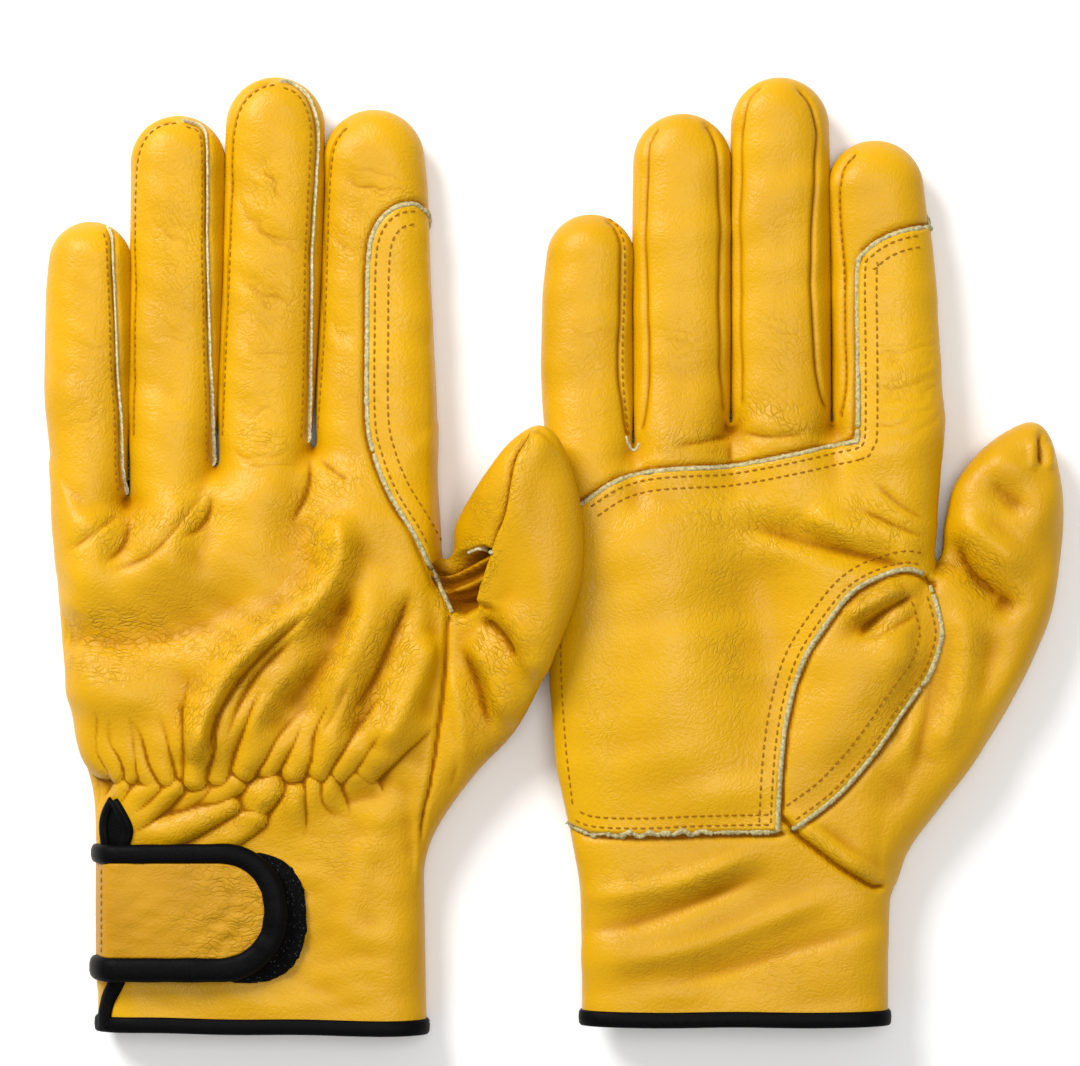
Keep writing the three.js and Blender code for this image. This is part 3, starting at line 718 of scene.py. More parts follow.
# puffs of leather pinched by the elastic: foot on the gather line, far end, half width, height
PUFFS = [
    ((-118.2, -55.8), (-122.5, -45.5), 2.6, 2.4), ((-114.3, -56.8), (-118.2, -48.2), 2.4, 2.6),
    ((-109.7, -56.6), (-112.9, -48.2), 2.5, 2.6), ((-105.4, -58.2), (-109.4, -49.4), 2.5, 3.0),
    ((-101.0, -57.8), (-103.7, -46.9), 2.6, 3.2), ((-96.9, -56.6), (-99.9, -45.7), 2.4, 2.6),
    ((-93.2, -57.6), (-90.6, -41.8), 3.3, 4.2), ((-87.2, -57.5), (-84.4, -41.8), 2.8, 3.8),
    ((-80.8, -55.4), (-73.4, -42.1), 3.2, 4.0), ((-75.0, -55.6), (-68.8, -45.7), 2.6, 3.0),
    ((-67.8, -56.0), (-63.0, -46.9), 2.7, 3.0), ((-61.4, -55.8), (-54.7, -42.1), 3.0, 3.8),
    ((-55.7, -55.9), (-45.9, -45.7), 3.0, 3.2), ((-49.4, -55.9), (-39.4, -44.5), 3.2, 2.8),
    ((-112.0, -59.9), (-114.6, -64.8), 2.3, 2.2), ((-104.8, -60.1), (-113.3, -66.6), 2.6, 3.0),
    ((-98.6, -60.1), (-111.7, -68.9), 2.5, 3.0), ((-90.8, -60.4), (-99.5, -65.5), 2.5, 2.8),
    ((-83.2, -58.8), (-97.4, -67.6), 3.0, 3.6), ((-85.0, -64.9), (-108.6, -76.0), 2.7, 3.0),
    ((-74.0, -60.2), (-83.6, -66.9), 3.4, 3.4), ((-67.3, -61.6), (-70.1, -70.2), 2.6, 2.8),
    ((-62.6, -58.8), (-62.2, -67.0), 2.3, 2.6), ((-57.9, -58.0), (-59.0, -65.5), 2.7, 3.0),
    ((-51.8, -57.2), (-50.6, -62.3), 3.2, 2.4), ((-78.6, -68.0), (-92.0, -77.0), 2.8, 2.0),
]
# folds across the fingers: their line and depth
BACK_FINGER_FOLDS = [
    ([(-86, 28.5), (-77, 25.5), (-67.5, 27.5)], 0.9), ([(-84, 36), (-76, 38), (-68, 36)], 0.5),
    ([(-84, 93), (-77, 86), (-67, 81)], 0.8), ([(-80, 104), (-73, 97), (-66, 93)], 0.6),
    ([(-84, 74), (-76, 68), (-66, 65)], 0.7), ([(-84, 58), (-76, 53), (-67, 52)], 0.5),
    ([(-108, 92), (-100, 84), (-92, 80)], 0.5), ([(-108, 64), (-100, 59), (-92, 61)], 0.5),
    ([(-109, 40), (-100, 36), (-92, 38)], 0.5), ([(-130, 58), (-121, 54), (-114, 56)], 0.45),
    ([(-130, 32), (-122, 36), (-115, 42)], 0.5), ([(-57, 99), (-46, 96.5), (-35, 93.5)], 0.9),
    ([(-60, 86), (-54, 81), (-49, 79)], 0.5), ([(-60, 62), (-55, 58), (-50, 57)], 0.5),
]
PALM_FINGER_FOLDS = [
    ([(25, 58), (33, 55), (42, 57)], 0.5), ([(50, 62), (59, 58), (68, 59)], 0.5),
    ([(1, 60), (9, 57), (17, 59)], 0.4), ([(50, 92), (59, 89), (68, 91)], 0.35),
    ([(101, 58), (92, 52), (82, 53)], 0.6), ([(101, 50), (92, 44), (82, 43)], 0.6),
    ([(100, 42), (92, 35), (80, 33)], 0.7), ([(0, 34), (9, 31), (17, 33)], 0.4),
]


def finger_folds(table, x, y):
    """Wavering folds across the fingers, each with a fainter one on both sides."""
    h = np.zeros(x.shape)
    wx, wy = x + waves(x, y, 9, 55), y + 1.1 * waves(x, y, 7, 56)
    for path, depth in table:
        for right, up, share, width in ((0, 0, 0.62, 0.8), (1.5, -2.6, 0.36, 0.6), (-1.0, 3.0, 0.3, 0.6)):
            h += crack([(a + right, b + up) for a, b in path], wx, wy, share * depth, width)
    return h


def puff(x, y, foot, tip, width, height):
    """A rounded lobe that is fullest near its foot and runs out towards its tip."""
    fx, fy = foot
    ex, ey = tip[0] - fx, tip[1] - fy
    t = np.clip(((x - fx) * ex + (y - fy) * ey) / (ex * ex + ey * ey), 0, 1)
    d = np.hypot(x - fx - t * ex, y - fy - t * ey)
    wide = 1.35 * width * (1 + 0.45 * t)
    return height * (1 - smoothstep(t, 0.05, 1.0)) * np.maximum(1 - (d / wide) ** 2, 0) ** 0.6


def gathers(x, y):
    """The band where the elastic pulls the leather into interlocking puffs."""
    total = np.zeros(x.shape)
    near = np.flatnonzero((y < -30) & (y > -86))
    nx, ny = x[near], y[near]
    bend = 0.7 * waves(nx, ny, 12, 91)
    tall = np.zeros(len(near))
    for foot, tip, width, height in PUFFS:
        drawn = PUFF_DRAW_UP if tip[1] > foot[1] else PUFF_DRAW_DOWN
        far = (foot[0] + drawn * (tip[0] - foot[0]), foot[1] + drawn * (tip[1] - foot[1]))
        tall = np.maximum(tall, puff(nx + bend, ny + 0.6 * bend, foot, far, width, height))
    pinch = bell(ny - GATHER_Y, 8) * smoothstep(nx, -124, -117) * smoothstep(-nx, 36, 48)
    total[near] = 1.15 * tall - 1.7 * pinch
    return total


# the folds of each face: the kind of shape, its place, its height or depth, then its sizes
BACK_SHAPES = [
    # the long fold that winds from the middle crotch down to the wrist, and the double crease beside it
    (ridge, [(-60.5, 12), (-55.8, 3), (-58.3, -7), (-66, -16), (-76.5, -23), (-84.5, -31), (-90.5, -42),
     (-93.0, -55)], 5.4, 4.2, 6.0, 0.12),
    (crack, [(-62.5, -13.7), (-75.6, -25.4), (-83.0, -34), (-88.2, -44.0), (-90.2, -53)], 3.0, 1.0,
     0.15),
    (crack, [(-64, -18), (-75.6, -29.0), (-81.5, -38), (-86.0, -50)], 1.6, 0.8),
    (ridge, [(-57, -20), (-69, -31), (-77.5, -41), (-83, -52)], 2.4, 3.2, 4.6, 0.35),
    (mound, (-68, 2), -1.9, (8, 11), 0.3),
    # the soft valley across the little-finger side, and the fullness below it
    (ridge, [(-150, -19), (-131, -20.8), (-112.2, -21.6), (-98, -19.4), (-86, -13), (-74, 0)], -3.2,
     6.5, 4.6, 0.35),
    (ridge, [(-140, -33), (-124, -35), (-110, -37), (-92, -40)], 2.6, 8.0, 7.0, 0.45),
    (ridge, [(-129, -7), (-110, -5), (-92, 0)], 1.7, 7.0, 7.0),
    # folds that run from the index knuckle towards the wrist
    (ridge, [(-46, 0), (-49.5, -18), (-56.5, -34), (-64, -50)], 3.0, 5.0, 4.2, 0.4),
    (ridge, [(-52, -6), (-58, -22), (-67, -38), (-76, -50)], -2.0, 4.0, 4.0),
    (ridge, [(-31.5, -18.9), (-37, -34), (-45.9, -50.5)], 2.4, 3.4, 3.6),
    (ridge, [(-36, -8), (-43, -26), (-51, -42), (-57, -50)], -1.9, 2.8, 2.8),
    (crack, [(-35.5, -6), (-42, -20), (-47, -32), (-56, -45)], 1.2, 0.8),
    (crack, [(-52, -30), (-58, -42), (-64, -49)], 1.0, 0.8),
    # knuckles and the hollows below the crotches
    *[(mound, at, 1.5, (8, 13)) for at in [(-122, 4), (-99, 8), (-76, 12), (-50, 10)]],
    *[(mound, at, -2.0, (4.5, 10), -0.2) for at in [(-112, 4), (-91, 8), (-66, 14)]],
    # creases that run out of the crotches
    (crack, [(-112.6, 13), (-117, 8), (-127, 0)], 1.1, 0.8),
    (crack, [(-111, 11), (-112, 3), (-118, -3)], 0.8, 0.7),
    (crack, [(-90.2, 21), (-94, 13), (-104, 1), (-117, -5)], 1.1, 0.8),
    (crack, [(-89, 18), (-91, 9), (-99, 3)], 0.9, 0.7),
    (crack, [(-63.8, 27), (-64.5, 17), (-69, 8)], 1.2, 0.7),
    (crack, [(-62, 26), (-56, 21), (-52, 19)], 0.7, 0.6),
    # a slanting fold under the gathers
    (ridge, [(-42, -62), (-50, -80), (-56, -104)], 0.8, 4.0),
]


def back_relief(x, y):
    """Heights on the back of a hand, in the left glove's plan."""
    h = raised_edge(patch_depth("back", x, y), 0.9, 0.5)
    h += shaped(BACK_SHAPES, x, y) + finger_folds(BACK_FINGER_FOLDS, x, y) + gathers(x, y)
    h += 0.3 * waves(x, y, 19, 15, squash=0.7) + 0.16 * waves(x, y, 8, 16, squash=0.4, angle=-0.6)
    # soft slanting bands down the cuff
    cuff = smoothstep(-y, 62, 70)
    h += cuff * 0.45 * waves(x, y, 30, 21, squash=0.5, angle=0.5)
    h += cuff * 0.12 * waves(x, y, 6, 22, squash=0.22, angle=0.1)
    return h * smoothstep(y, -122, -116)


# fine creases: their way, strength, middle, size and turn
BACK_CREASES = [
    ("level", 1.0, (-112, -21), (22, 7), 0), ("level", 0.5, (-118, -30), (12, 5), 0),
    ("rising", 0.9, (-80, -27), (6, 17), -0.9), ("rising", 0.7, (-60, -4), (5, 14), -0.2),
    ("falling", 0.6, (-67, 8), (8, 10), 0), ("rising", 0.8, (-95, 10), (12, 8), 0.6),
    ("rising", 0.8, (-116, 6), (12, 6), 0.6), ("falling", 0.6, (-54, 20), (12, 6), 0),
    ("level", 0.8, (-76, 30), (10, 4), 0), ("rising", 0.8, (-45, -28), (5, 18), -0.5),
    ("rising", 0.6, (-84, -68), (18, 5), 0.4), ("level", 0.5, (-58, -78), (16, 8), 0),
    ("falling", 0.55, (-76, 96), (9, 10), 0), ("falling", 0.5, (-74, 66), (10, 12), 0),
    ("falling", 0.5, (-99, 80), (9, 22), 0), ("rising", 0.45, (-120, 40), (10, 18), 0),
    ("falling", 0.6, (-54, 84), (8, 12), 0), ("level", 0.7, (-40, 93.5), (9, 3.5), 0),
    ("falling", 0.5, (-55, 52), (5, 16), 0), ("level", 0.4, (-78, 44), (9, 9), 0),
]
PALM_CREASES = [
    ("rising", 0.8, (36, 31), (14, 5), 0.3), ("falling", 0.9, (60, 36), (14, 6), -0.3),
    ("falling", 0.8, (50, 8), (20, 8), -0.3), ("falling", 0.9, (84, 8), (14, 7), -0.4),
    ("rising", 0.6, (45, -26), (9, 24), 0.1), ("falling", 0.5, (90, 46), (8, 8), 0),
    ("rising", 0.6, (84, -14), (12, 6), 0.4), ("rising", 0.5, (86, -38), (8, 16), -0.6),
    ("falling", 0.4, (60, 54), (8, 12), 0), ("falling", 0.35, (34, 52), (8, 14), 0),
    ("rising", 0.3, (9, 44), (8, 18), 0), ("level", 0.5, (20, -84), (20, 5), 0.15),
    ("level", 0.4, (60, -108), (24, 8), 0), ("rising", 0.4, (12, -40), (8, 24), 0),
]
LEFT_THUMB_CREASES = [
    ("level", 0.6, (-19, 13), (5, 10), 0), ("falling", 0.8, (-13, -23), (8, 10), -0.8),
    ("falling", 0.6, (-18, -46), (8, 14), 0),
]
RIGHT_THUMB_CREASES = [
    ("falling", 0.9, (112, -4), (12, 5), -0.75), ("falling", 0.6, (118, 14), (8, 6), -0.6),
    ("falling", 0.5, (104, -34), (6, 18), -0.4),
]


def fine_creases(table, x, y):
    """How strongly each way of creasing shows at plan points."""
    out = {way: np.zeros(x.shape) for way in CREASE_WAYS}
    for way, strength, at, size, turn in table:
        out[way] += strength * blob(x, y, at, size, turn)
    return out


def blurred(grid, size):
    kernel = np.hanning(size + 2)[1:-1]
    kernel /= kernel.sum()
    for axis in (0, 1):
        grid = np.apply_along_axis(np.convolve, axis, grid, kernel, "same")
    return grid


def fold_creases(relief, x, y):
    """Fine creases that run along the folds of a relief, stronger where it is steeper."""
    gx = np.arange(x.min() - 2, x.max() + 3)
    gy = np.arange(y.min() - 2, y.max() + 3)
    heights = relief(*(g.ravel() for g in np.meshgrid(gx, gy, indexing="ij"))).reshape(len(gx), len(gy))
    dx, dy = np.gradient(heights)
    xx, xy, yy = blurred(dx * dx, 7), blurred(dx * dy, 7), blurred(dy * dy, 7)
    along = 0.5 * np.arctan2(2 * xy, xx - yy) + math.pi / 2
    strength = smoothstep(np.sqrt(xx + yy), 0.16, 0.9)
    at = (x - gx[0] + 0.5).astype(int), (y - gy[0] + 0.5).astype(int)
    return {way: (strength * np.maximum(np.cos(2 * (along - turn)), 0))[at]
            for way, turn in CREASE_WAYS.items()}


PATCH_OUTLINES = {}


def patch_depth(which, x, y):
    """How far inside a sewn-on patch a plan point is."""
    if which not in PATCH_OUTLINES:
        if which == "back":
            PATCH_OUTLINES[which] = np.vstack([curve(BACK_PATCH, 2.0), [(-20, -15), (-22, 92)]])
        elif which == "palm":
            PATCH_OUTLINES[which] = resample(np.array(PALM_PATCH + PALM_PATCH[:1], float), 2.0)[:-1]
        else:
            PATCH_OUTLINES[which] = np.vstack([curve(EYE_EDGE, 2.0), EYE_ARCH[::-1]])
    return inside_depth(PATCH_OUTLINES[which], x, y)


PALM_SHAPES = [
    # the heel of the thumb swells, and puckers by the thumb crotch
    (mound, (77, -38), 3.4, (10, 22), -0.6),
    (mound, (89, -26), 1.6, (6, 8)),
    (mound, (82.2, -17.8), -2.4, (6.5, 2.8), 0.35),
    (crack, [(78.5, -22.5), (84, -16), (95.2, -9.0)], 2.4, 0.9),
    (crack, [(80, -23), (87, -19), (95, -14)], 1.2, 0.8),
    (ridge, [(75, -17), (82, -12), (91, -8.0)], 1.6, 2.2),
    (ridge, [(103, -10), (102.5, -24), (96, -42), (85, -58)], 1.8, 4.5, 2.6),
    # a hollow palm with soft broad folds
    (mound, (54, -14), -4.4, (11, 32), 0.15),
    (mound, (32, -28), 3.8, (16, 42), 0.06),
    (mound, (58, 6), 1.8, (22, 9), -0.25),
    (mound, (22, 2), 1.4, (14, 12)),
    (mound, (48, -60), 1.0, (16, 9)),
    # the valley that runs into the thumb crotch, with the fold above it
    (ridge, [(64, 12), (80, 3), (97, -1)], 1.8, 4.0, 2.6),
    (ridge, [(46, 10), (67, 3.5), (84, 0), (99, -4.5)], -3.4, 4.6, 3.2, 0.3),
    (crack, [(98, 4), (88, 8), (78, 13)], 0.9, 0.8),
    (crack, [(98, 8), (90, 13), (82, 20)], 0.7, 0.8),
    # hollows at the crotches and pads at the finger roots
    *[(mound, at, -1.7, (3.6, 8)) for at in [(20.8, 21), (46, 27), (72.6, 27)]],
    *[(mound, at, 1.0, (9, 10)) for at in [(9, 24), (33, 30), (60, 31), (88, 28)]],
    (crack, [(47, 33), (40, 30), (30, 28.5)], 0.9, 0.7),
    (crack, [(47, 33), (56, 31), (67, 32)], 1.0, 0.7),
    (crack, [(46, 32), (45.5, 27), (47, 21)], 0.6, 0.7),
    # the cuff's slanting wrinkles, and the thumb's seam that ends there
    (ridge, [(2, -98), (18, -96), (34, -91), (60, -80)], -1.6, 3.0, 2.4, 0.35),
    (ridge, [(2, -90), (18, -88), (34, -84.5), (56, -76)], 1.5, 3.0, 3.0, 0.3),
    (ridge, [(6, -106), (26, -104), (48, -98), (78, -86)], 1.6, 3.6, 3.2, 0.3),
    (ridge, [(20, -113), (46, -107), (66, -101), (92, -94)], -1.2, 3.2, 2.6, 0.35),
    (ridge, THUMB_CUFF_SEAM, -1.9, 0.9, 0.9, 0.1),
    (ridge, [(a + 2, b + 2.2) for a, b in THUMB_CUFF_SEAM], 1.7, 2.2, 3.0, 0.4),
]


def palm_relief(x, y):
    """Heights on the palm, in the right glove's plan."""
    patch = patch_depth("palm", x, y)
    h = raised_edge(patch, 1.1, 0.6) + raised_edge(patch_depth("eye", x, y), 0.6, 0.5 * (patch < 0))
    h += shaped(PALM_SHAPES, x, y) + finger_folds(PALM_FINGER_FOLDS, x, y)
    h += 0.5 * waves(x, y, 34, 41, squash=0.7) + 0.22 * waves(x, y, 13, 42, squash=0.6, angle=0.3)
    cuff = smoothstep(-y, 72, 82) * (1 - smoothstep(-y, 112, 119))
    h += cuff * 0.7 * waves(x, y, 22, 61, squash=0.4, angle=0.22)
    return h * smoothstep(y, -121, -114)


LEFT_THUMB_SHAPES = [
    # the outer leather stands over the inner leaf along their seam
    (ridge, LEFT_LEAF_SEAM, 2.0, 5.5, 0.8, 0.05),
    (ridge, [(a - 1.1, b) for a, b in LEFT_LEAF_SEAM], -1.3, 0.8, 0.8, 0.05),
    (mound, (-19, 16), 0.8, (4, 9), -0.5),
    # pleats in the pocket at the thumb's crotch
    (ridge, [(-32.5, -4.8), (-25, -3.4), (-16.5, -0.4)], 3.6, 1.5, 1.0, 0.08),
    (ridge, [(-30.5, -9.4), (-25, -8.2), (-18.5, -5.6)], 2.8, 2.0, 1.3, 0.08),
    (ridge, [(-29, -12.6), (-25, -13.4), (-20.5, -12.6)], -2.2, 1.2, 1.2, 0.1),
    # soft folds that fan out of the pocket
    (crack, [(-20.3, -15.6), (-15, -20), (-9.5, -27.5)], 3.4, 1.2, 0.25),
    (ridge, [(-15.5, -11.5), (-8, -19), (-4, -34)], 2.2, 4.4, 3.5, 0.3),
    (ridge, [(-23, -19), (-15.5, -31), (-11.5, -46)], 2.4, 3.2, 3.2, 0.3),
    (crack, [(-24.5, -22), (-19.8, -34), (-16.5, -47)], 1.7, 1.2, 0.35),
    (ridge, [(-28.6, -26), (-25, -42), (-26, -60)], 1.5, 3.0, 3.0, 0.3),
    (crack, [(-27.6, -38), (-25.5, -52), (-28.4, -66)], 0.8, 1.0, 0.4),
]


def left_thumb_relief(x, y):
    pocket = inside_depth(np.array(THUMB_POCKET, float), x, y)
    return shaped(LEFT_THUMB_SHAPES, x, y) - POCKET_DEPTH * smoothstep(pocket, -0.8, 1.4)


RIGHT_THUMB_SHAPES = [
    # the end of the seam at the tip
    (ridge, [(127.1, 33.4), (127.2, 28), (127.1, 22.6)], -1.3, 1.0, 1.0, 0.3),
    (ridge, [(124.8, 31), (124.9, 27), (124.6, 22)], 0.8, 1.4, 1.4, 0.3),
    (ridge, [(129.4, 30), (129.5, 26), (129.4, 22)], 0.8, 1.2, 1.2, 0.3),
    # two soft valleys slant across the thumb, with full folds between them
    (ridge, [(99.5, 5), (108, -3.5), (122.5, -16.5)], -4.0, 3.4, 4.6, 0.25),
    (crack, [(101, 3.5), (108, -4), (116, -11)], 1.2, 1.0, 0.3),
    (ridge, [(103, 12.5), (112, 5), (125, -6)], 2.2, 3.6, 3.6, 0.35),
    (ridge, [(109, 22), (117, 16), (126, 9)], -1.5, 2.8, 3.4, 0.4),
    (ridge, [(110, 28), (118, 24), (127, 18)], 1.0, 3.5, 3.5, 0.4),
    (ridge, [(103.5, -10), (107, -22), (105, -38), (98, -54)], 2.0, 4.0, 4.0),
    (ridge, [(112, -16), (114, -26), (109, -42)], -1.3, 4.0, 4.0, 0.4),
]


def right_thumb_relief(x, y):
    return shaped(RIGHT_THUMB_SHAPES, x, y) + 0.5 * waves(x, y, 16, 71, squash=0.6, angle=1.0)


def seam_relief(seams, x, y):
    h = np.zeros(x.shape)
    for finger in seams.values():
        for _, line, _, _ in finger:
            h += ridge(line, x, y, -0.9, 0.7, 0.7, 0.04)
    return h


# ------------------------------------------------------------------ seams drawn on the fingers and thumbs

# each seam: the side it is on, its line, how far to its left the stitching runs (0 when hidden), and
# whether a raw edge shows
LEFT_SEAMS = {
    "little": [("thumb", [(-117.4, 86.2), (-115.8, 82.6), (-115.4, 77.4), (-114.7, 61.7), (-114.3, 48.6),
                          (-113.4, 35.5), (-113.1, 22.4), (-112.3, 15.8)], -1.5, True)],
    "ring": [("thumb", [(-97.5, 113.6), (-93.2, 112.6), (-91.2, 109.5), (-90.7, 100.9), (-90.8, 81.3),
                        (-90.5, 68.2), (-90.2, 51.8), (-89.8, 42), (-89.6, 28.9), (-89.5, 23.4)],
              -1.4, True),
             ("little", [(-97.5, 113.9), (-102.5, 113.2), (-106.8, 110.2), (-109.3, 105), (-110.1, 98),
                         (-110.4, 84), (-110.3, 60), (-110.6, 30)], 0.8, False)],
    "middle": [("thumb", [(-72, 124.0), (-67.9, 123.0), (-64.3, 119.4), (-62.3, 113.5), (-62.1, 107.5),
                          (-62.5, 99.6), (-63.1, 87.8), (-63.6, 78), (-63.7, 68.2), (-63.9, 56), (-64.2, 40),
                          (-64.6, 29.5)], -1.7, True),
               ("little", [(-72, 124.2), (-77.5, 122.6), (-82.0, 118.4), (-84.2, 112), (-85.0, 103),
                           (-85.4, 84), (-86.4, 60), (-87.6, 30)], 0.9, False)],
    "index": [("little", [(-54.0, 113.5), (-57.6, 109), (-59.1, 103), (-60.0, 90), (-60.6, 70), (-61.6, 50),
                          (-63.0, 32)], 1.0, False)],
}
RIGHT_SEAMS = {
    "little": [("thumb", [(12.5, 88.4), (15.6, 86.2), (17.4, 81.5), (17.6, 75), (17.5, 68.2), (17.0, 55.1),
                          (17.1, 45.3), (18.1, 35.5), (18.9, 30.0)], 0.7, False)],
    "ring": [("little", [(28.5, 113.4), (25.2, 109.5), (23.9, 104.2), (23.7, 81.3), (24.3, 61.7), (24.3, 42),
                         (23.0, 31.0)], 0, False),
             ("thumb", [(38, 113.6), (41.4, 110.4), (42.9, 103), (43.2, 85), (43.1, 62), (44.3, 42),
                        (45.2, 36.4)], 0, False)],
    "middle": [("thumb", [(62, 123.0), (66.4, 118.8), (68.5, 112.7), (68.9, 107.5), (67.9, 94.4),
                          (67.3, 74.7), (67.9, 55.1), (69.6, 43.3), (71.6, 36.8)], 0, False),
               ("little", [(56, 123.4), (51.4, 119.6), (49.2, 113), (48.6, 104), (48.6, 70), (48.4, 38)],
                0, False)],
    "index": [("little", [(79.5, 106.4), (75.6, 102.0), (74.2, 96), (74.2, 87.8), (75.1, 74.7), (75.5, 55.1),
                          (75.6, 44), (74.2, 35.0)], 0.7, False)],
}
PALM_SHIFT = 131.2           # from a point of the left hand to the same point of the right hand
CUFF_SHIFT = 6.6             # how much less that is at the cuff
STRAP_SHIFT = 128.6          # from the left glove's strap to the right glove's


def shift_at(y):
    """How far right of a plan point on the left glove the same point of the right glove lies."""
    return PALM_SHIFT - CUFF_SHIFT * smoothstep(-y, 20, 75)


def seam_edges(seams, y):
    """The x of a finger's seams on its little-finger side and its thumb side, at each y."""
    edges = {"little": np.full(y.shape, -1e3), "thumb": np.full(y.shape, 1e3)}
    for side, line, _, _ in seams:
        line = np.array(line)[::-1]
        edges[side] = np.interp(y, line[:, 1], line[:, 0])
    return edges["little"], edges["thumb"]


# ------------------------------------------------------------------ a glove's leather

class Glove:
    """The leather of one glove as one displaced mesh, then cut into the pieces it is sewn from."""

    def __init__(self, shape, seams):
        self.shape = shape
        self.side = shape["side"]
        self.left = self.side == "left"
        self.seams = seams
        self.form = Form(shape)
        points, quads = self.form.mesh(self.form.field())
        points = relax(points, quads, 5)
        normals = vertex_normals(points, quads)
        x, y = points[:, 0], points[:, 1]
        up, down = smoothstep(normals[:, 2], -0.05, 0.5), smoothstep(-normals[:, 2], 0.1, 0.6)
        height = up * self.upper_relief(x, y) + down * self.lower_relief(x, y)
        height += SIDE_SWELL * (1 - np.abs(normals[:, 2])) * smoothstep(y, 24, 42)
        points = points + height[:, None] * normals
        low = points[:, 2] < REST_HEIGHT
        points[low, 2] = REST_HEIGHT + PRESS_SHARE * (points[low, 2] - REST_HEIGHT)
        self.points, self.quads = points, quads
        self.normals = vertex_normals(points, quads)
        self.tree = BVHTree.FromPolygons(points.tolist(), quads.tolist())
        self.attributes = self.creasing(x, y, up)
        # painted shade: the leather's hollowness, deeper near the gathers, plus the pocket's painted shade,
        # stored for the shader to darken creases and lighten ridges a touch
        pinched = 1 + 0.9 * bell(y - GATHER_Y, 11)
        hollow = pinched * hollowness(points, quads, self.normals) + self.pocket(x, y, up)
        self.attributes["hollow"] = np.clip(hollow, -1, 1)

    def thumb_share(self, x, y):
        line = np.array(self.shape["thumb_seam"], float)[::-1]
        return x - np.interp(y, line[:, 1], line[:, 0])

    def upper_relief(self, x, y):
        thumb = smoothstep(self.thumb_share(x, y), -1.5, 3)
        hand = back_relief(x, y) if self.left else palm_relief(x, y)
        own = left_thumb_relief(x, y) if self.left else right_thumb_relief(x, y)
        seam = ridge(self.shape["thumb_seam"], x, y, -0.9, 0.8, 0.8, 0.1) if self.left else 0.0
        return (1 - thumb) * hand + thumb * own + seam + seam_relief(self.seams, x, y)

    def creasing(self, x, y, up):
        """The crease attributes of every vertex, one for each way that creases run."""
        thumb = smoothstep(self.thumb_share(x, y), -1.5, 3)
        shift = shift_at(y)
        if self.left:
            hand, own = fine_creases(BACK_CREASES, x, y), fine_creases(LEFT_THUMB_CREASES, x, y)
            under = fine_creases(PALM_CREASES, x + shift, y)
        else:
            hand, own = fine_creases(PALM_CREASES, x, y), fine_creases(RIGHT_THUMB_CREASES, x, y)
            under = fine_creases(BACK_CREASES, x - shift, y)
        folds = fold_creases(self.upper_relief, x, y)
        out = {}
        for way in CREASE_WAYS:
            over = (1 - thumb) * hand[way] + thumb * own[way] + folds[way]
            out[way] = np.minimum(up * over + (1 - up) * under[way], 1)
        return out

    def pocket(self, x, y, up):
        """Extra painted shade down in the pocket at the left thumb's crotch."""
        if not self.left:
            return 0 * x
        depth = inside_depth(np.array(THUMB_POCKET, float), x, y)
        return POCKET_SHADE * up * smoothstep(depth, -0.4, 1.5)

    def lower_relief(self, x, y):
        thumb = smoothstep(self.thumb_share(x, y), -1.5, 3)
        shift = shift_at(y)
        hand = palm_relief(x + shift, y) if self.left else back_relief(x - shift, y)
        return (1 - thumb) * hand * UNDER_SHARE

    def labels(self):
        """For each face, the name of the piece it belongs to."""
        middle = self.points[self.quads].mean(1)
        x, y, z = middle.T
        upper = z > self.shape["parting"]
        names = np.full(len(x), "", dtype=object)
        shift = shift_at(y)
        if self.left:
            back, patch_up = upper, patch_depth("back", x, y) > 0
            patch_low, eye = patch_depth("palm", x + shift, y) > 0, patch_depth("eye", x + shift, y) > 0
        else:
            back, patch_up = ~upper, patch_depth("palm", x, y) > 0
            patch_low, eye = patch_depth("back", x - shift, y) > 0, patch_depth("eye", x, y) > 0
        patch = np.where(upper, patch_up, patch_low)
        names[back] = "back_panel_leather"
        names[~back] = "palm_panel_leather"
        names[patch] = "palm_patch_leather"
        names[eye & ~back & ~patch] = "thenar_panel_leather"
        depths = np.array(list(self.form.finger_depths(x, y).values()))
        nearest = depths.argmax(0)
        for i, finger in enumerate(self.shape["fingers"]):
            mine = (nearest == i) & (y > self.shape["starts"][finger])
            low, high = seam_edges(self.seams[finger], y)
            names[mine & back] = f"{finger}_back_leather"
            names[mine & ~back] = f"{finger}_front_leather"
            if finger == "index":
                names[mine & patch] = "index_patch_leather"
            names[mine & (x < low)] = f"{finger}_little_side_leather"
            names[mine & (x > high)] = f"{finger}_thumb_side_leather"
        beyond = self.thumb_share(x, y) > 0
        beyond &= self.form.thumb_depth(x, y) > -3
        beyond &= y < 40
        names[beyond & back] = "thumb_back_leather"
        names[beyond & ~back] = "thumb_front_leather"
        names[y < self.shape["hem"]] = ""
        return names

    def blend_ends(self, part):
        """Where a finger or thumb starts and stops bending: two points across its base."""
        if part == "thumb":
            if self.left:
                return (-24.8, 2.6, 0), (-10.9, 1.1, 0)
            return (99.6, -12.6, 0), (112.1, -14.2, 0)
        start = self.shape["starts"][part] + 0.2
        return (0, start, 0), (0, start + BLEND_LENGTH, 0)

    def attach(self, obj, part):
        """Fix a piece to the hand, or bend it with its finger or thumb."""
        if part == "glove":
            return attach(obj, f"{self.side}_glove")
        start, end = self.blend_ends(part)
        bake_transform(obj, f"{self.side}_glove", f"{self.side}_{part}",
                 start=tuple(c * MM for c in start), end=tuple(c * MM for c in end))
        return obj

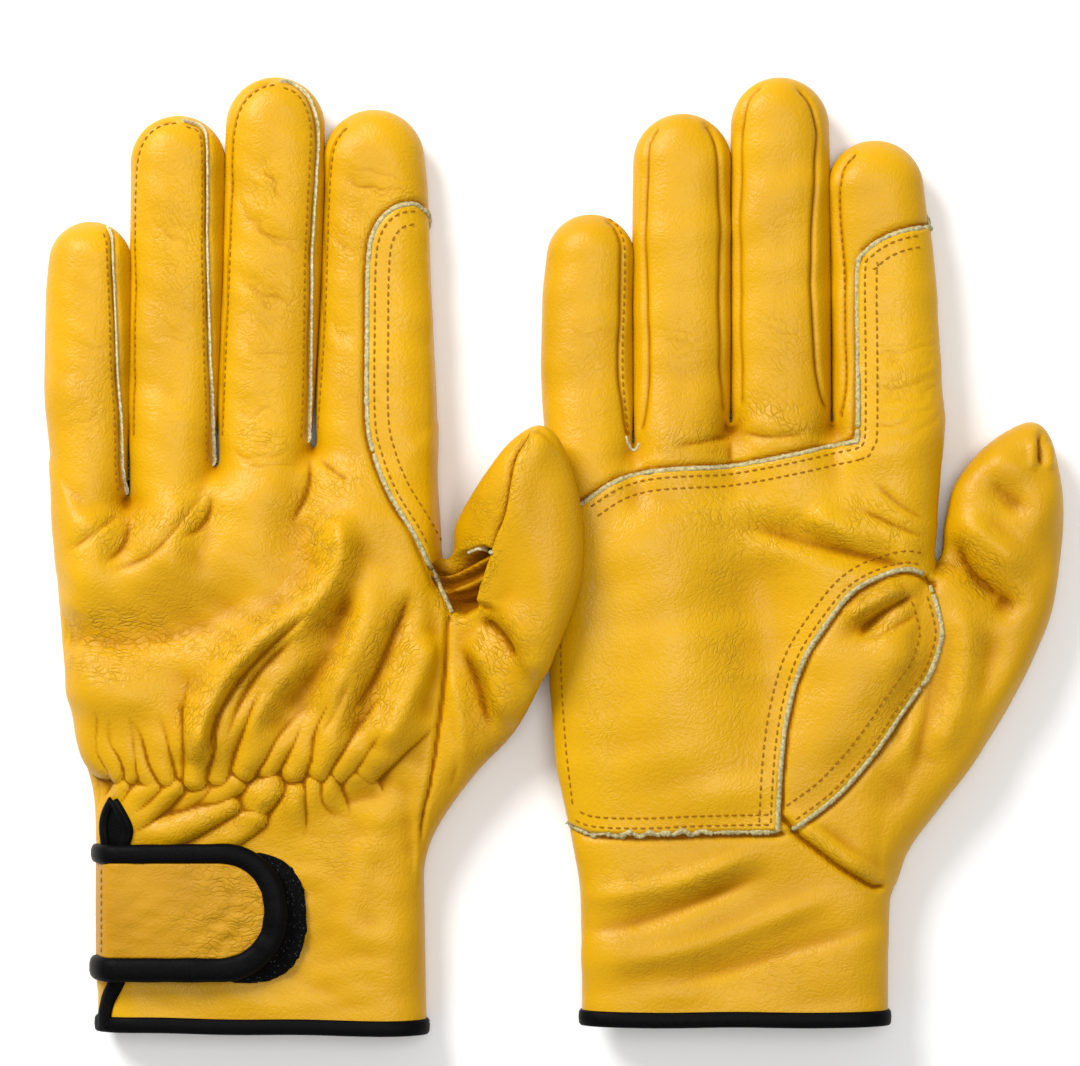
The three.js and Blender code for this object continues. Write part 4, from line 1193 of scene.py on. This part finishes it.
    def make_leather(self):
        names = self.labels()
        for name in sorted(set(names) - {""}):
            points, faces, used = keep_faces(self.points, self.quads, names == name)
            material = PATCH if "patch" in name else LEATHER
            obj = add_mesh(f"{self.side}_{name}", points, faces, material, self.normals[used],
                           {key: values[used] for key, values in self.attributes.items()})
            part = name.split("_")[0]
            part = part if part in ("little", "ring", "middle", "index", "thumb") else "glove"
            node = f"{self.side}_{name.removesuffix('_leather')}"
            if node in NODES:
                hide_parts(node)
            self.attach(obj, part)

    def make_lining(self):
        points, quads = self.form.mesh(self.form.lining_field())
        points = relax(points, quads, 2)
        normals = vertex_normals(points, quads)
        keep = points[quads].mean(1)[:, 1] > self.shape["hem"] + 0.4
        points, faces, used = keep_faces(points, quads, keep)
        obj = add_mesh(f"{self.side}_lining_suede", points, faces[:, ::-1], SUEDE, -normals[used])
        self.attach(obj, "glove")

    def covers(self, x, y):
        """Whether plan points lie on the fingers, not past their outline; always true below them."""
        depth = np.max(list(self.form.finger_depths(x, y).values()), axis=0)
        return (depth > 0.5) | (y < 60)

    def drop(self, x, y, below=False):
        """The surface point and normal above or below a plan point."""
        start = Vector((x, y, -20 if below else 70))
        hit, normal, index, _ = self.tree.ray_cast(start, Vector((0, 0, 1 if below else -1)))
        if hit is None:
            hit, normal, index, _ = self.tree.find_nearest(Vector((x, y, 4 if below else 14)))
        soft = self.normals[self.quads[index]].mean(0)
        return np.array(hit), soft / np.linalg.norm(soft)

    def lay(self, path, below=False):
        """A plan path laid on the leather: points and smoothed normals."""
        found = [self.drop(a, b, below) for a, b in path]
        points, normals = np.array([f[0] for f in found]), np.array([f[1] for f in found])
        kernel = np.array([1, 2, 3, 2, 1]) / 9
        for i in range(3):
            if len(points) > 6:
                normals[:, i] = np.convolve(np.pad(normals[:, i], 2, mode="edge"), kernel, mode="valid")
        return points, normals / np.linalg.norm(normals, axis=1, keepdims=True)


NODES = set(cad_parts)


# ------------------------------------------------------------------ stitching and raw edges

def stitch(at, along, out, soup):
    """One short stitch of thread, sunk a little at both ends."""
    along = along - out * along.dot(out)
    along /= np.linalg.norm(along)
    stations = np.array([-0.75, -0.45, 0.0, 0.45, 0.75])
    path = at + stations[:, None] * along + np.array([-0.12, 0.12, 0.2, 0.12, -0.12])[:, None] * out
    points, faces = sweep(path, np.repeat(out[None], 5, axis=0), oval(0.5, 0.4, 6),
                          scale=np.array([0.35, 0.85, 1, 0.85, 0.35]))
    soup.add(points, faces)


class Trim:
    """The stitching and raw edges of one glove, gathered for each part they move with."""

    def __init__(self, glove):
        self.glove = glove
        self.stitches = {}
        self.edges = {}

    def part_of(self, x, y):
        """The part of the glove a plan point lies on."""
        glove = self.glove
        share = float(glove.thumb_share(np.array([x]), np.array([y]))[0])
        if share > 0.3 and y < 40:
            return "thumb"
        depths = glove.form.finger_depths(np.array([x]), np.array([y]))
        finger = max(depths, key=lambda name: depths[name][0])
        return finger if y > glove.shape["starts"][finger] else "glove"

    def sew(self, path, part=None, below=False):
        spots = resample(np.asarray(path, float), STITCH_PITCH)
        points, normals = self.glove.lay(spots, below)
        along = tangents(points)
        for spot, point, normal, way in zip(spots, points, normals, along):
            owner = part or self.part_of(*spot)
            stitch(point, way, normal, self.stitches.setdefault(owner, Soup()))

    def raw_edge(self, path, size=PATCH_EDGE_SIZE, part=None, ragged=PATCH_EDGE_RAGGED, below=False):
        """A pale cut edge along a path; it is cut where the path leaves one part for the next."""
        width, height = size
        path = resample(np.asarray(path, float), 0.45)
        points, normals = self.glove.lay(path, below)
        owners = [part or self.part_of(a, b) for a, b in path]
        start = 0
        for i in range(1, len(path) + 1):
            if i == len(path) or owners[i] != owners[start]:
                if i - start > 3:
                    self.edge_run(points[start:i], normals[start:i], owners[start], width, height, ragged)
                start = max(i - 1, 0)

    def patch_side(self, back_end, palm_end):
        """The patch's cut edge round the index finger's outer side, from the back to the palm."""
        glove = self.glove
        start = glove.drop(*back_end, below=not glove.left)[0]
        end = glove.drop(*palm_end, below=glove.left)[0]
        share = np.linspace(0, 1, 30)[:, None]
        outward = 5.0 * np.sin(math.pi * share) * np.array([1.0, 0, 0])
        places = start + share * (end - start) + outward
        found = [glove.tree.find_nearest(Vector(place)) for place in places]
        points = np.array([f[0] for f in found])
        normals = np.array([f[1] for f in found])
        self.edge_run(points, normals, "index", *PATCH_EDGE_SIZE, PATCH_EDGE_RAGGED)

    def edge_run(self, points, normals, owner, width, height, ragged):
        scale = 1 + ragged * rng.normal(size=len(points))
        scale[[0, -1]] *= 0.6
        middle = points + normals * (0.12 + 0.05 * rng.normal(size=(len(points), 1)))
        tube, faces = sweep(middle, normals, oval(width, height, 8, 0.8), scale=scale)
        kind = "patch_edge" if width > 1.2 else "raw_edge"
        self.edges.setdefault((owner, kind), Soup()).add(tube, faces)

    def make(self):
        for owner, soup in self.stitches.items():
            obj = soup.make(f"{self.glove.side}_{owner}_stitching", THREAD)
            self.glove.attach(obj, owner)
        for (owner, kind), soup in self.edges.items():
            material = PATCH_EDGE if kind == "patch_edge" else RAW_EDGE
            obj = soup.make(f"{self.glove.side}_{owner}_{kind}", material)
            self.glove.attach(obj, owner)


def trim_patch(trim, outline, rows, inward=-1, frayed=0.0, under=0, rows_end=-200):
    """A patch's raw edge and its two rows of stitching. Returns the edge's path.

    inward is -1 when the patch lies right of its outline. The outline of a patch on a glove's underside
    is given for the other glove, under times the shift away. The stitching stops at y = rows_end.
    """
    path = curve(outline)
    path = path + np.column_stack([under * shift_at(path[:, 1]), np.zeros(len(path))])
    path = path[trim.glove.covers(*path.T)]
    below = under != 0
    share = np.linspace(0, 1, len(path))
    middle = smoothstep(share, 0.2, 0.5) * smoothstep(share[::-1], 0.02, 0.2)
    waver = frayed * middle * waves(path[:, 0], path[:, 1], 5, 33)
    ragged = PATCH_EDGE_RAGGED + 0.2 * frayed
    trim.raw_edge(path + np.column_stack([0 * waver, waver]), ragged=ragged, below=below)
    for row in rows:
        line = shifted(path, inward * row)[4:-4]
        trim.sew(line[line[:, 1] > rows_end], below=below)
    return path


def trim_finger_seams(trim, seams):
    for finger, lines in seams.items():
        for _, line, offset, raw in lines:
            path = curve(line)
            if raw:
                trim.raw_edge(path, SEAM_EDGE_SIZE, part=finger, ragged=0.08)
            if offset:
                trim.sew(shifted(path, offset)[3:-3], part=finger)


# ------------------------------------------------------------------ cuffs, bindings and straps

def cuff_ring(glove, y, inset=0.0, count=26):
    """A cuff's outline at a given y: points and outward directions, all the way round."""
    rows = even_rows(glove.shape["hand"], np.array([float(y)]))
    little, thumb, low, high = (float(row[0]) for row in rows)
    middle, half = (low + high) / 2, (high - low) / 2
    power = 2 / EDGE_POWER
    ring = []
    for quarter, (top, left) in enumerate([(True, True), (True, False), (False, False), (False, True)]):
        reach = TOP_ROLL if top else LOW_ROLL
        turn = np.linspace(0, math.pi / 2, count)
        if quarter % 2:
            turn = turn[::-1]
        a, b = np.cos(turn) ** power, np.sin(turn) ** power
        x = little + reach * (1 - a) if left else thumb - reach * (1 - a)
        z = middle + (half * b if top else -half * b)
        ring.append(np.column_stack([x, z]))
    ring = np.vstack(ring)
    keep = np.r_[True, np.linalg.norm(np.diff(ring, axis=0), axis=1) > 1e-6]
    ring = resample(np.vstack([ring[keep], ring[:1]]), 1.2)[:-1]
    way = np.roll(ring, -1, axis=0) - np.roll(ring, 1, axis=0)
    out = np.column_stack([-way[:, 1], way[:, 0]])
    out /= np.linalg.norm(out, axis=1, keepdims=True)
    ring = ring - inset * out
    points = np.column_stack([ring[:, 0], np.full(len(ring), float(y)), ring[:, 1]])
    return points, np.column_stack([out[:, 0], np.zeros(len(out)), out[:, 1]])


def add_cuff_trim(glove):
    """The hem binding and the hidden elastic."""
    side = glove.side
    slope = glove.shape["hem_tape"]
    points, out = cuff_ring(glove, sum(slope) / 2, inset=0.7)
    points[:, 1] = np.interp(points[:, 0], [points[:, 0].min(), points[:, 0].max()], slope)
    points[:, 1] += 0.12 * np.sin(points[:, 0] / 6.0)
    tube, faces = sweep(points, out, oval(4.3, 3.2, 12, 0.55), loop=True)
    binding = add_mesh(f"{side}_hem_binding", tube, faces, BINDING)
    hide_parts(f"{side}_cuff_binding")
    glove.attach(binding, "glove")
    points, out = cuff_ring(glove, GATHER_Y, inset=3.4)
    points += out * (0.35 * np.sin(points[:, 0] * 2 * math.pi / GATHER_PITCH))[:, None]
    tube, faces = sweep(points, out, oval(7.5, 1.0, 10, 0.5), loop=True)
    elastic = add_mesh(f"{side}_elastic", tube, faces, ELASTIC)
    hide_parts(f"{side}_elastic_band")
    glove.attach(elastic, "glove")


# the wrist slit's bound edges, in the left glove's plan
SLIT_LEFT = [(-115.1, -63.8), (-116.8, -67.0), (-117.5, -70.5), (-117.1, -75.0), (-116.6, -80)]
SLIT_RIGHT = [(-114.6, -64.0), (-112.5, -67.5), (-111.0, -71.4), (-112.0, -75.5), (-113.0, -80)]
SLIT_FOOT = [(-113.6, -107), (-114.0, -110.8), (-116.2, -115.2), (-117.3, -119.5), (-117.6, -123.4)]


class Closure:
    """A wrist strap and its loop patch, drawn in the left glove's plan and turned over for the right one."""

    MIDDLE_Y = -92.3
    HALF_WIDTH = 12.3
    TIP_X = -75.2
    TIP_RADIUS = 12.6
    STRAP_UP = 0.8              # from the strap's middle to its upper face
    STRAP_DOWN = 0.6

    def __init__(self, glove):
        self.glove = glove
        self.side = glove.side
        # the left strap rolls round the cuff's edge, and the right one is sewn on short of it
        self.root_x = -120.2 if glove.left else -115.4

    def place(self, points):
        """From the left glove's plan to this glove: the right glove's closure is under its cuff."""
        points = np.asarray(points, float)
        if self.glove.left:
            return points
        return np.column_stack([points[:, 0] + STRAP_SHIFT, points[:, 1], STRAP_FLIP - points[:, 2]])

    def add(self, name, points, faces, material, slot, nodes=(), moves="strap", attributes=None):
        if not self.glove.left:
            faces = [list(f)[::-1] for f in faces]
        placed = self.place(points)
        obj = add_mesh(f"{self.side}_{name}", placed, faces, material, attributes=attributes)
        for node in nodes:
            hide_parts(f"{self.side}_{node}")
        if moves == "glove":
            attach(obj, f"{self.side}_glove")
        elif moves == "strap":
            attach(obj, f"{self.side}_strap")
        else:
            start, end = self.place([(-119.5, -93, 20), (-112.0, -93, 20)]) * MM
            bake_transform(obj, f"{self.side}_glove", f"{self.side}_strap", start=tuple(start), end=tuple(end))
        return obj

    def strap_height(self, x, y):
        """The strap's middle: rolled over the cuff's edge, slightly domed, with wrinkles near its tip."""
        dome = 0.7 * bell(y + 92, 9) + 0.5 * bell(x + 94, 16)
        wrinkle = (0.10 + 0.16 * smoothstep(x, -100, -82)) * waves(x, y, 2.6, 81, squash=0.25)
        roll = 11 * (np.clip((-113.4 - x) / 6.9, 0, 0.995)) ** 3.2
        return 20.3 + dome + wrinkle - roll

    def half_width(self, x):
        """How the strap's outline narrows into its rounded tip."""
        t = np.clip((x - (self.TIP_X - self.TIP_RADIUS)) / self.TIP_RADIUS, 0, 1)
        return np.sqrt(np.maximum(1 - t**2.3, 0))

    def tip_stations(self, count):
        """Stations along the rounded tip, closer together towards its end."""
        return self.TIP_X - self.TIP_RADIUS * np.cos(np.linspace(0, math.pi / 2, count))

    def edge_path(self, grow):
        """Round the strap's outline, from its top root round the tip to its lower root."""
        x = np.sort(np.r_[np.linspace(self.root_x + 0.4, -89, 40), self.tip_stations(30)])
        half = self.HALF_WIDTH * self.half_width(x)
        flare = 0.022 * (x + 119) * bell(x + 119, 40)
        top = np.column_stack([x, self.MIDDLE_Y + half + flare])
        low = np.column_stack([x, self.MIDDLE_Y - half])
        plan = resample(np.vstack([top, low[::-1]]), 0.9)
        share = smoothstep(np.linspace(0, 1, len(plan)), 0.25, 0.6)
        way = tangents(plan)
        return plan + (grow + 0.8 * share)[:, None] * np.column_stack([-way[:, 1], way[:, 0]])

    def add_strap(self):
        stations = np.r_[np.linspace(self.root_x, -112, 22), np.linspace(-111.4, -89.4, 44),
                         self.tip_stations(24)]
        width = np.maximum(self.half_width(stations), 0.02)
        x, across = np.meshgrid(stations, np.linspace(-1, 1, 40), indexing="ij")
        y = self.MIDDLE_Y + self.HALF_WIDTH * across * width[:, None]
        n, m = x.shape
        x, y = x.ravel(), y.ravel()
        z = self.strap_height(x, y)
        top = np.column_stack([x, y, z + self.STRAP_UP])
        low = np.column_stack([x, y, z - self.STRAP_DOWN])
        faces = []
        for i in range(n - 1):
            for j in range(m - 1):
                a = i * m + j
                faces.append([a, a + m, a + m + 1, a + 1])
                faces.append([a + n * m, a + n * m + 1, a + n * m + m + 1, a + n * m + m])
        rim = ([i * m for i in range(n)] + [(n - 1) * m + j for j in range(1, m)]
               + [i * m + m - 1 for i in range(n - 2, -1, -1)] + list(range(m - 2, 0, -1)))
        for a, b in zip(rim, rim[1:] + rim[:1]):
            faces.append([b, a, a + n * m, b + n * m])
        creased = 0.15 + 0.75 * smoothstep(x, -106, -84)
        self.add("strap_leather", np.vstack([top, low]), faces, STRAP, "leather_yellow", ["strap"], "blend",
                 {"level": np.tile(creased, 2)})

    def add_binding(self):
        plan = self.edge_path(2.2)
        z = self.strap_height(plan[:, 0], plan[:, 1])
        path = np.column_stack([plan, z + 0.1])
        normals = np.tile([0.0, 0.0, 1.0], (len(path), 1))
        steep = np.gradient(z) / np.maximum(np.abs(np.gradient(plan[:, 0])), 0.05)
        tilt = np.where(plan[:, 0] < -113, np.clip(np.abs(steep), 0, 2), 0)
        normals[:, 0] = -tilt
        normals /= np.linalg.norm(normals, axis=1, keepdims=True)
        share = np.linspace(0, 1, len(path))
        swell = 0.95 + 0.28 * smoothstep(share, 0.25, 0.55) + 0.02 * np.sin(share * 60)
        tube, faces = sweep(path, normals, oval(5.3, 3.4, 14, 0.8), scale=swell)
        self.add("strap_edge_binding", tube, faces, BINDING, "binding_black", ["strap_binding"], "blend")

    def add_hook(self):
        self.add_pad("strap_hook_tape", (-100.7, -105.5, -74.7, -80.5), 18.3, 1.0,
                     "hook_black", "hook_patch", "strap")

    def add_pad(self, name, box, z, thick, slot, node, moves):
        """A rounded pad of hooks or loops with a rough pile."""
        x0, y0, x1, y1 = box
        ring = np.array([(x0 + x1) / 2, (y0 + y1) / 2]) + oval(x1 - x0, y1 - y0, 90, 0.8)
        centre = ring.mean(0)
        top_shares = np.r_[np.linspace(0.02, 0.96, 40), 1.0]
        rings = []
        for share in top_shares:
            height = z + thick + 0.22 * rng.normal(size=len(ring)) * (share > 0.1)
            flat = centre + (ring - centre) * share + 0.12 * rng.normal(size=ring.shape) * (share > 0.2)
            rings.append(np.column_stack([flat, height - (0.5 if share == 1 else 0)]))
        for share in (0.99, 0.6, 0.05):
            rings.append(np.column_stack([centre + (ring - centre) * share, np.full(len(ring), z)]))
        points = np.vstack(rings)
        faces = ring_faces(len(rings), len(ring))
        self.add(name, points, [f[::-1] for f in faces], LOOP, slot, [node], moves)

    def add_loop(self):
        self.add_pad("cuff_loop_pile", (-96.7, -111.4, -64.6, -77.2), 16.7, 1.5,
                     "loop_black", "loop_patch", "glove")

    def add_slit(self):
        """The bound wrist slit: two rolled edges round a dark opening, then one edge down to the hem."""
        left, right, foot = (curve(line, 0.8) for line in (SLIT_LEFT, SLIT_RIGHT, SLIT_FOOT))
        soup = Soup()
        for path, width in ((left, 2.7), (right, 2.9), (foot, 4.4)):
            points, normals = self.glove_surface(path)
            tube, faces = sweep(points + 0.2 * normals, normals, oval(width, 2.2, 10, 0.8))
            soup.add(tube, faces)
        count = min(len(left), len(right))
        ends = [side[np.linspace(0, len(side) - 1, count).astype(int)] for side in (left, right)]
        rows = []
        for p, q in zip(*ends):
            line, normals = self.glove_surface(np.linspace(p, q, 7))
            rows.append(np.vstack([line + 0.25 * normals, line[::-1] - 1.2 * normals[::-1]]))
        soup.add(np.vstack(rows), [f[::-1] for f in ring_faces(len(rows), 14)])
        return soup

    def glove_surface(self, path):
        """Surface points for the closure's plan path, returned in the left glove's plan."""
        if self.glove.left:
            return self.glove.lay(path)
        moved = path + np.array([STRAP_SHIFT, 0])
        points, normals = self.glove.lay(moved, below=True)
        points = np.column_stack([points[:, 0] - STRAP_SHIFT, points[:, 1], STRAP_FLIP - points[:, 2]])
        return points, normals * np.array([1, 1, -1])

    def make(self):
        self.add_strap()
        self.add_binding()
        self.add_hook()
        self.add_loop()
        soup = self.add_slit()
        self.add("slit_edge_binding", np.vstack(soup.points), soup.faces, BINDING, "binding_black",
                 ["slit_binding"], "glove")
        row = np.array([(2.2, -82.4), (2.3, -92), (2.2, -102.6)]) + (self.root_x, 0)
        spots = resample(row, STITCH_PITCH)
        stitches = Soup()
        for x, y in spots:
            z = float(self.strap_height(np.array([x]), np.array([y]))[0]) + 0.85
            stitch(np.array([x, y, z]), np.array([0.0, 1.0, 0.0]), np.array([-0.6, 0.0, 0.8]), stitches)
        self.add("strap_stitching", np.vstack(stitches.points), stitches.faces, THREAD, "thread", (), "blend")


# ------------------------------------------------------------------ the scene

def add_gloves():
    for shape, seams in ((LEFT, LEFT_SEAMS), (RIGHT, RIGHT_SEAMS)):
        glove = Glove(shape, seams)
        glove.make_leather()
        glove.make_lining()
        add_cuff_trim(glove)
        Closure(glove).make()
        trim = Trim(glove)
        trim_finger_seams(trim, seams)
        back_under, palm_under = (0, -1) if glove.left else (1, 0)
        back_edge = trim_patch(trim, BACK_PATCH, (1.8, 5.3), inward=1, under=back_under, rows_end=4)
        palm_edge = trim_palm(trim, palm_under)
        trim.patch_side(back_edge[0], palm_edge[-1])
        if glove.left:
            # the cut edge that shows in the pocket at the thumb's crotch
            trim.raw_edge(curve([(-22.6, 0.9), (-19.2, 2.1), (-15.9, 0.8)]), (1.0, 1.2), part="thumb")
        else:
            trim.sew(curve([(2.8, 4), (1.9, -14), (1.8, -30), (2.8, -48), (4.6, -64)]))
            # the curled end of the strip between the little finger and the ring finger
            curl = curve([(18.5, 31.2), (19.6, 28.2), (21.2, 27.4), (22.3, 29.4)])
            trim.raw_edge(curl, (0.8, 1.0), part="glove")
        trim.make()


def trim_palm(trim, under):
    top = trim_patch(trim, PATCH_TOP, (1.8, 4.8), under=under)
    trim_patch(trim, EYE_ARCH, (1.8, 4.8), under=under)
    trim_patch(trim, EYE_ARCH[-1:] + PATCH_FOOT, (1.8, 4.4), frayed=0.9, under=under)
    trim_patch(trim, EYE_EDGE, (1.7, 6.0), under=under)
    return top


def add_floor():
    size = 6.0
    points = [(-size, -size, 0), (size, -size, 0), (size, size, 0), (-size, size, 0)]
    mesh = bpy.data.meshes.new("floor")
    mesh.from_pydata(points, [], [(0, 1, 2, 3)])
    m = Nodes("pale_floor")
    grain = m.noise(3, 2)
    colour = m.ramp(grain, 0, [(0.0, grey(0.97)), (1.0, grey(1))])
    m.link(colour, 0, m.bsdf, "Base Color")
    m.bsdf.inputs["Roughness"].default_value = 0.9
    mesh.materials.append(m.material)
    floor = bpy.data.objects.new("floor", mesh)
    floor.location.z = -0.0004
    bpy.context.scene.collection.objects.link(floor)


def add_light(name, at, target, size, power):
    data = bpy.data.lights.new(name, "AREA")
    data.shape = "DISK"
    data.size = size
    data.energy = power
    light = bpy.data.objects.new(name, data)
    light.location = at
    light.rotation_euler = (Vector(target) - Vector(at)).to_track_quat("-Z", "Y").to_euler()
    bpy.context.scene.collection.objects.link(light)


def add_lights():
    world = bpy.data.worlds.new("studio")
    world.use_nodes = True
    world.node_tree.nodes["Background"].inputs[0].default_value = (1, 1, 1, 1)
    world.node_tree.nodes["Background"].inputs[1].default_value = 0.46
    bpy.context.scene.world = world
    bpy.context.scene.view_settings.view_transform = "Standard"
    add_light("key", (-0.6, 0.7, 0.78), (0, 0, 0), 0.6, 15.5)
    add_light("top", (0.15, 0.1, 1.5), (0, 0, 0), 0.7, 8)


def add_camera():
    data = bpy.data.cameras.new("camera")
    data.lens = 150
    data.sensor_width = 36
    camera = bpy.data.objects.new("camera", data)
    camera.location = (-0.0038, 0.0059, 1.19)
    camera.rotation_euler = (0, 0, 0)
    bpy.context.scene.collection.objects.link(camera)
    bpy.context.scene.camera = camera


add_gloves()
add_floor()
add_lights()
add_camera()
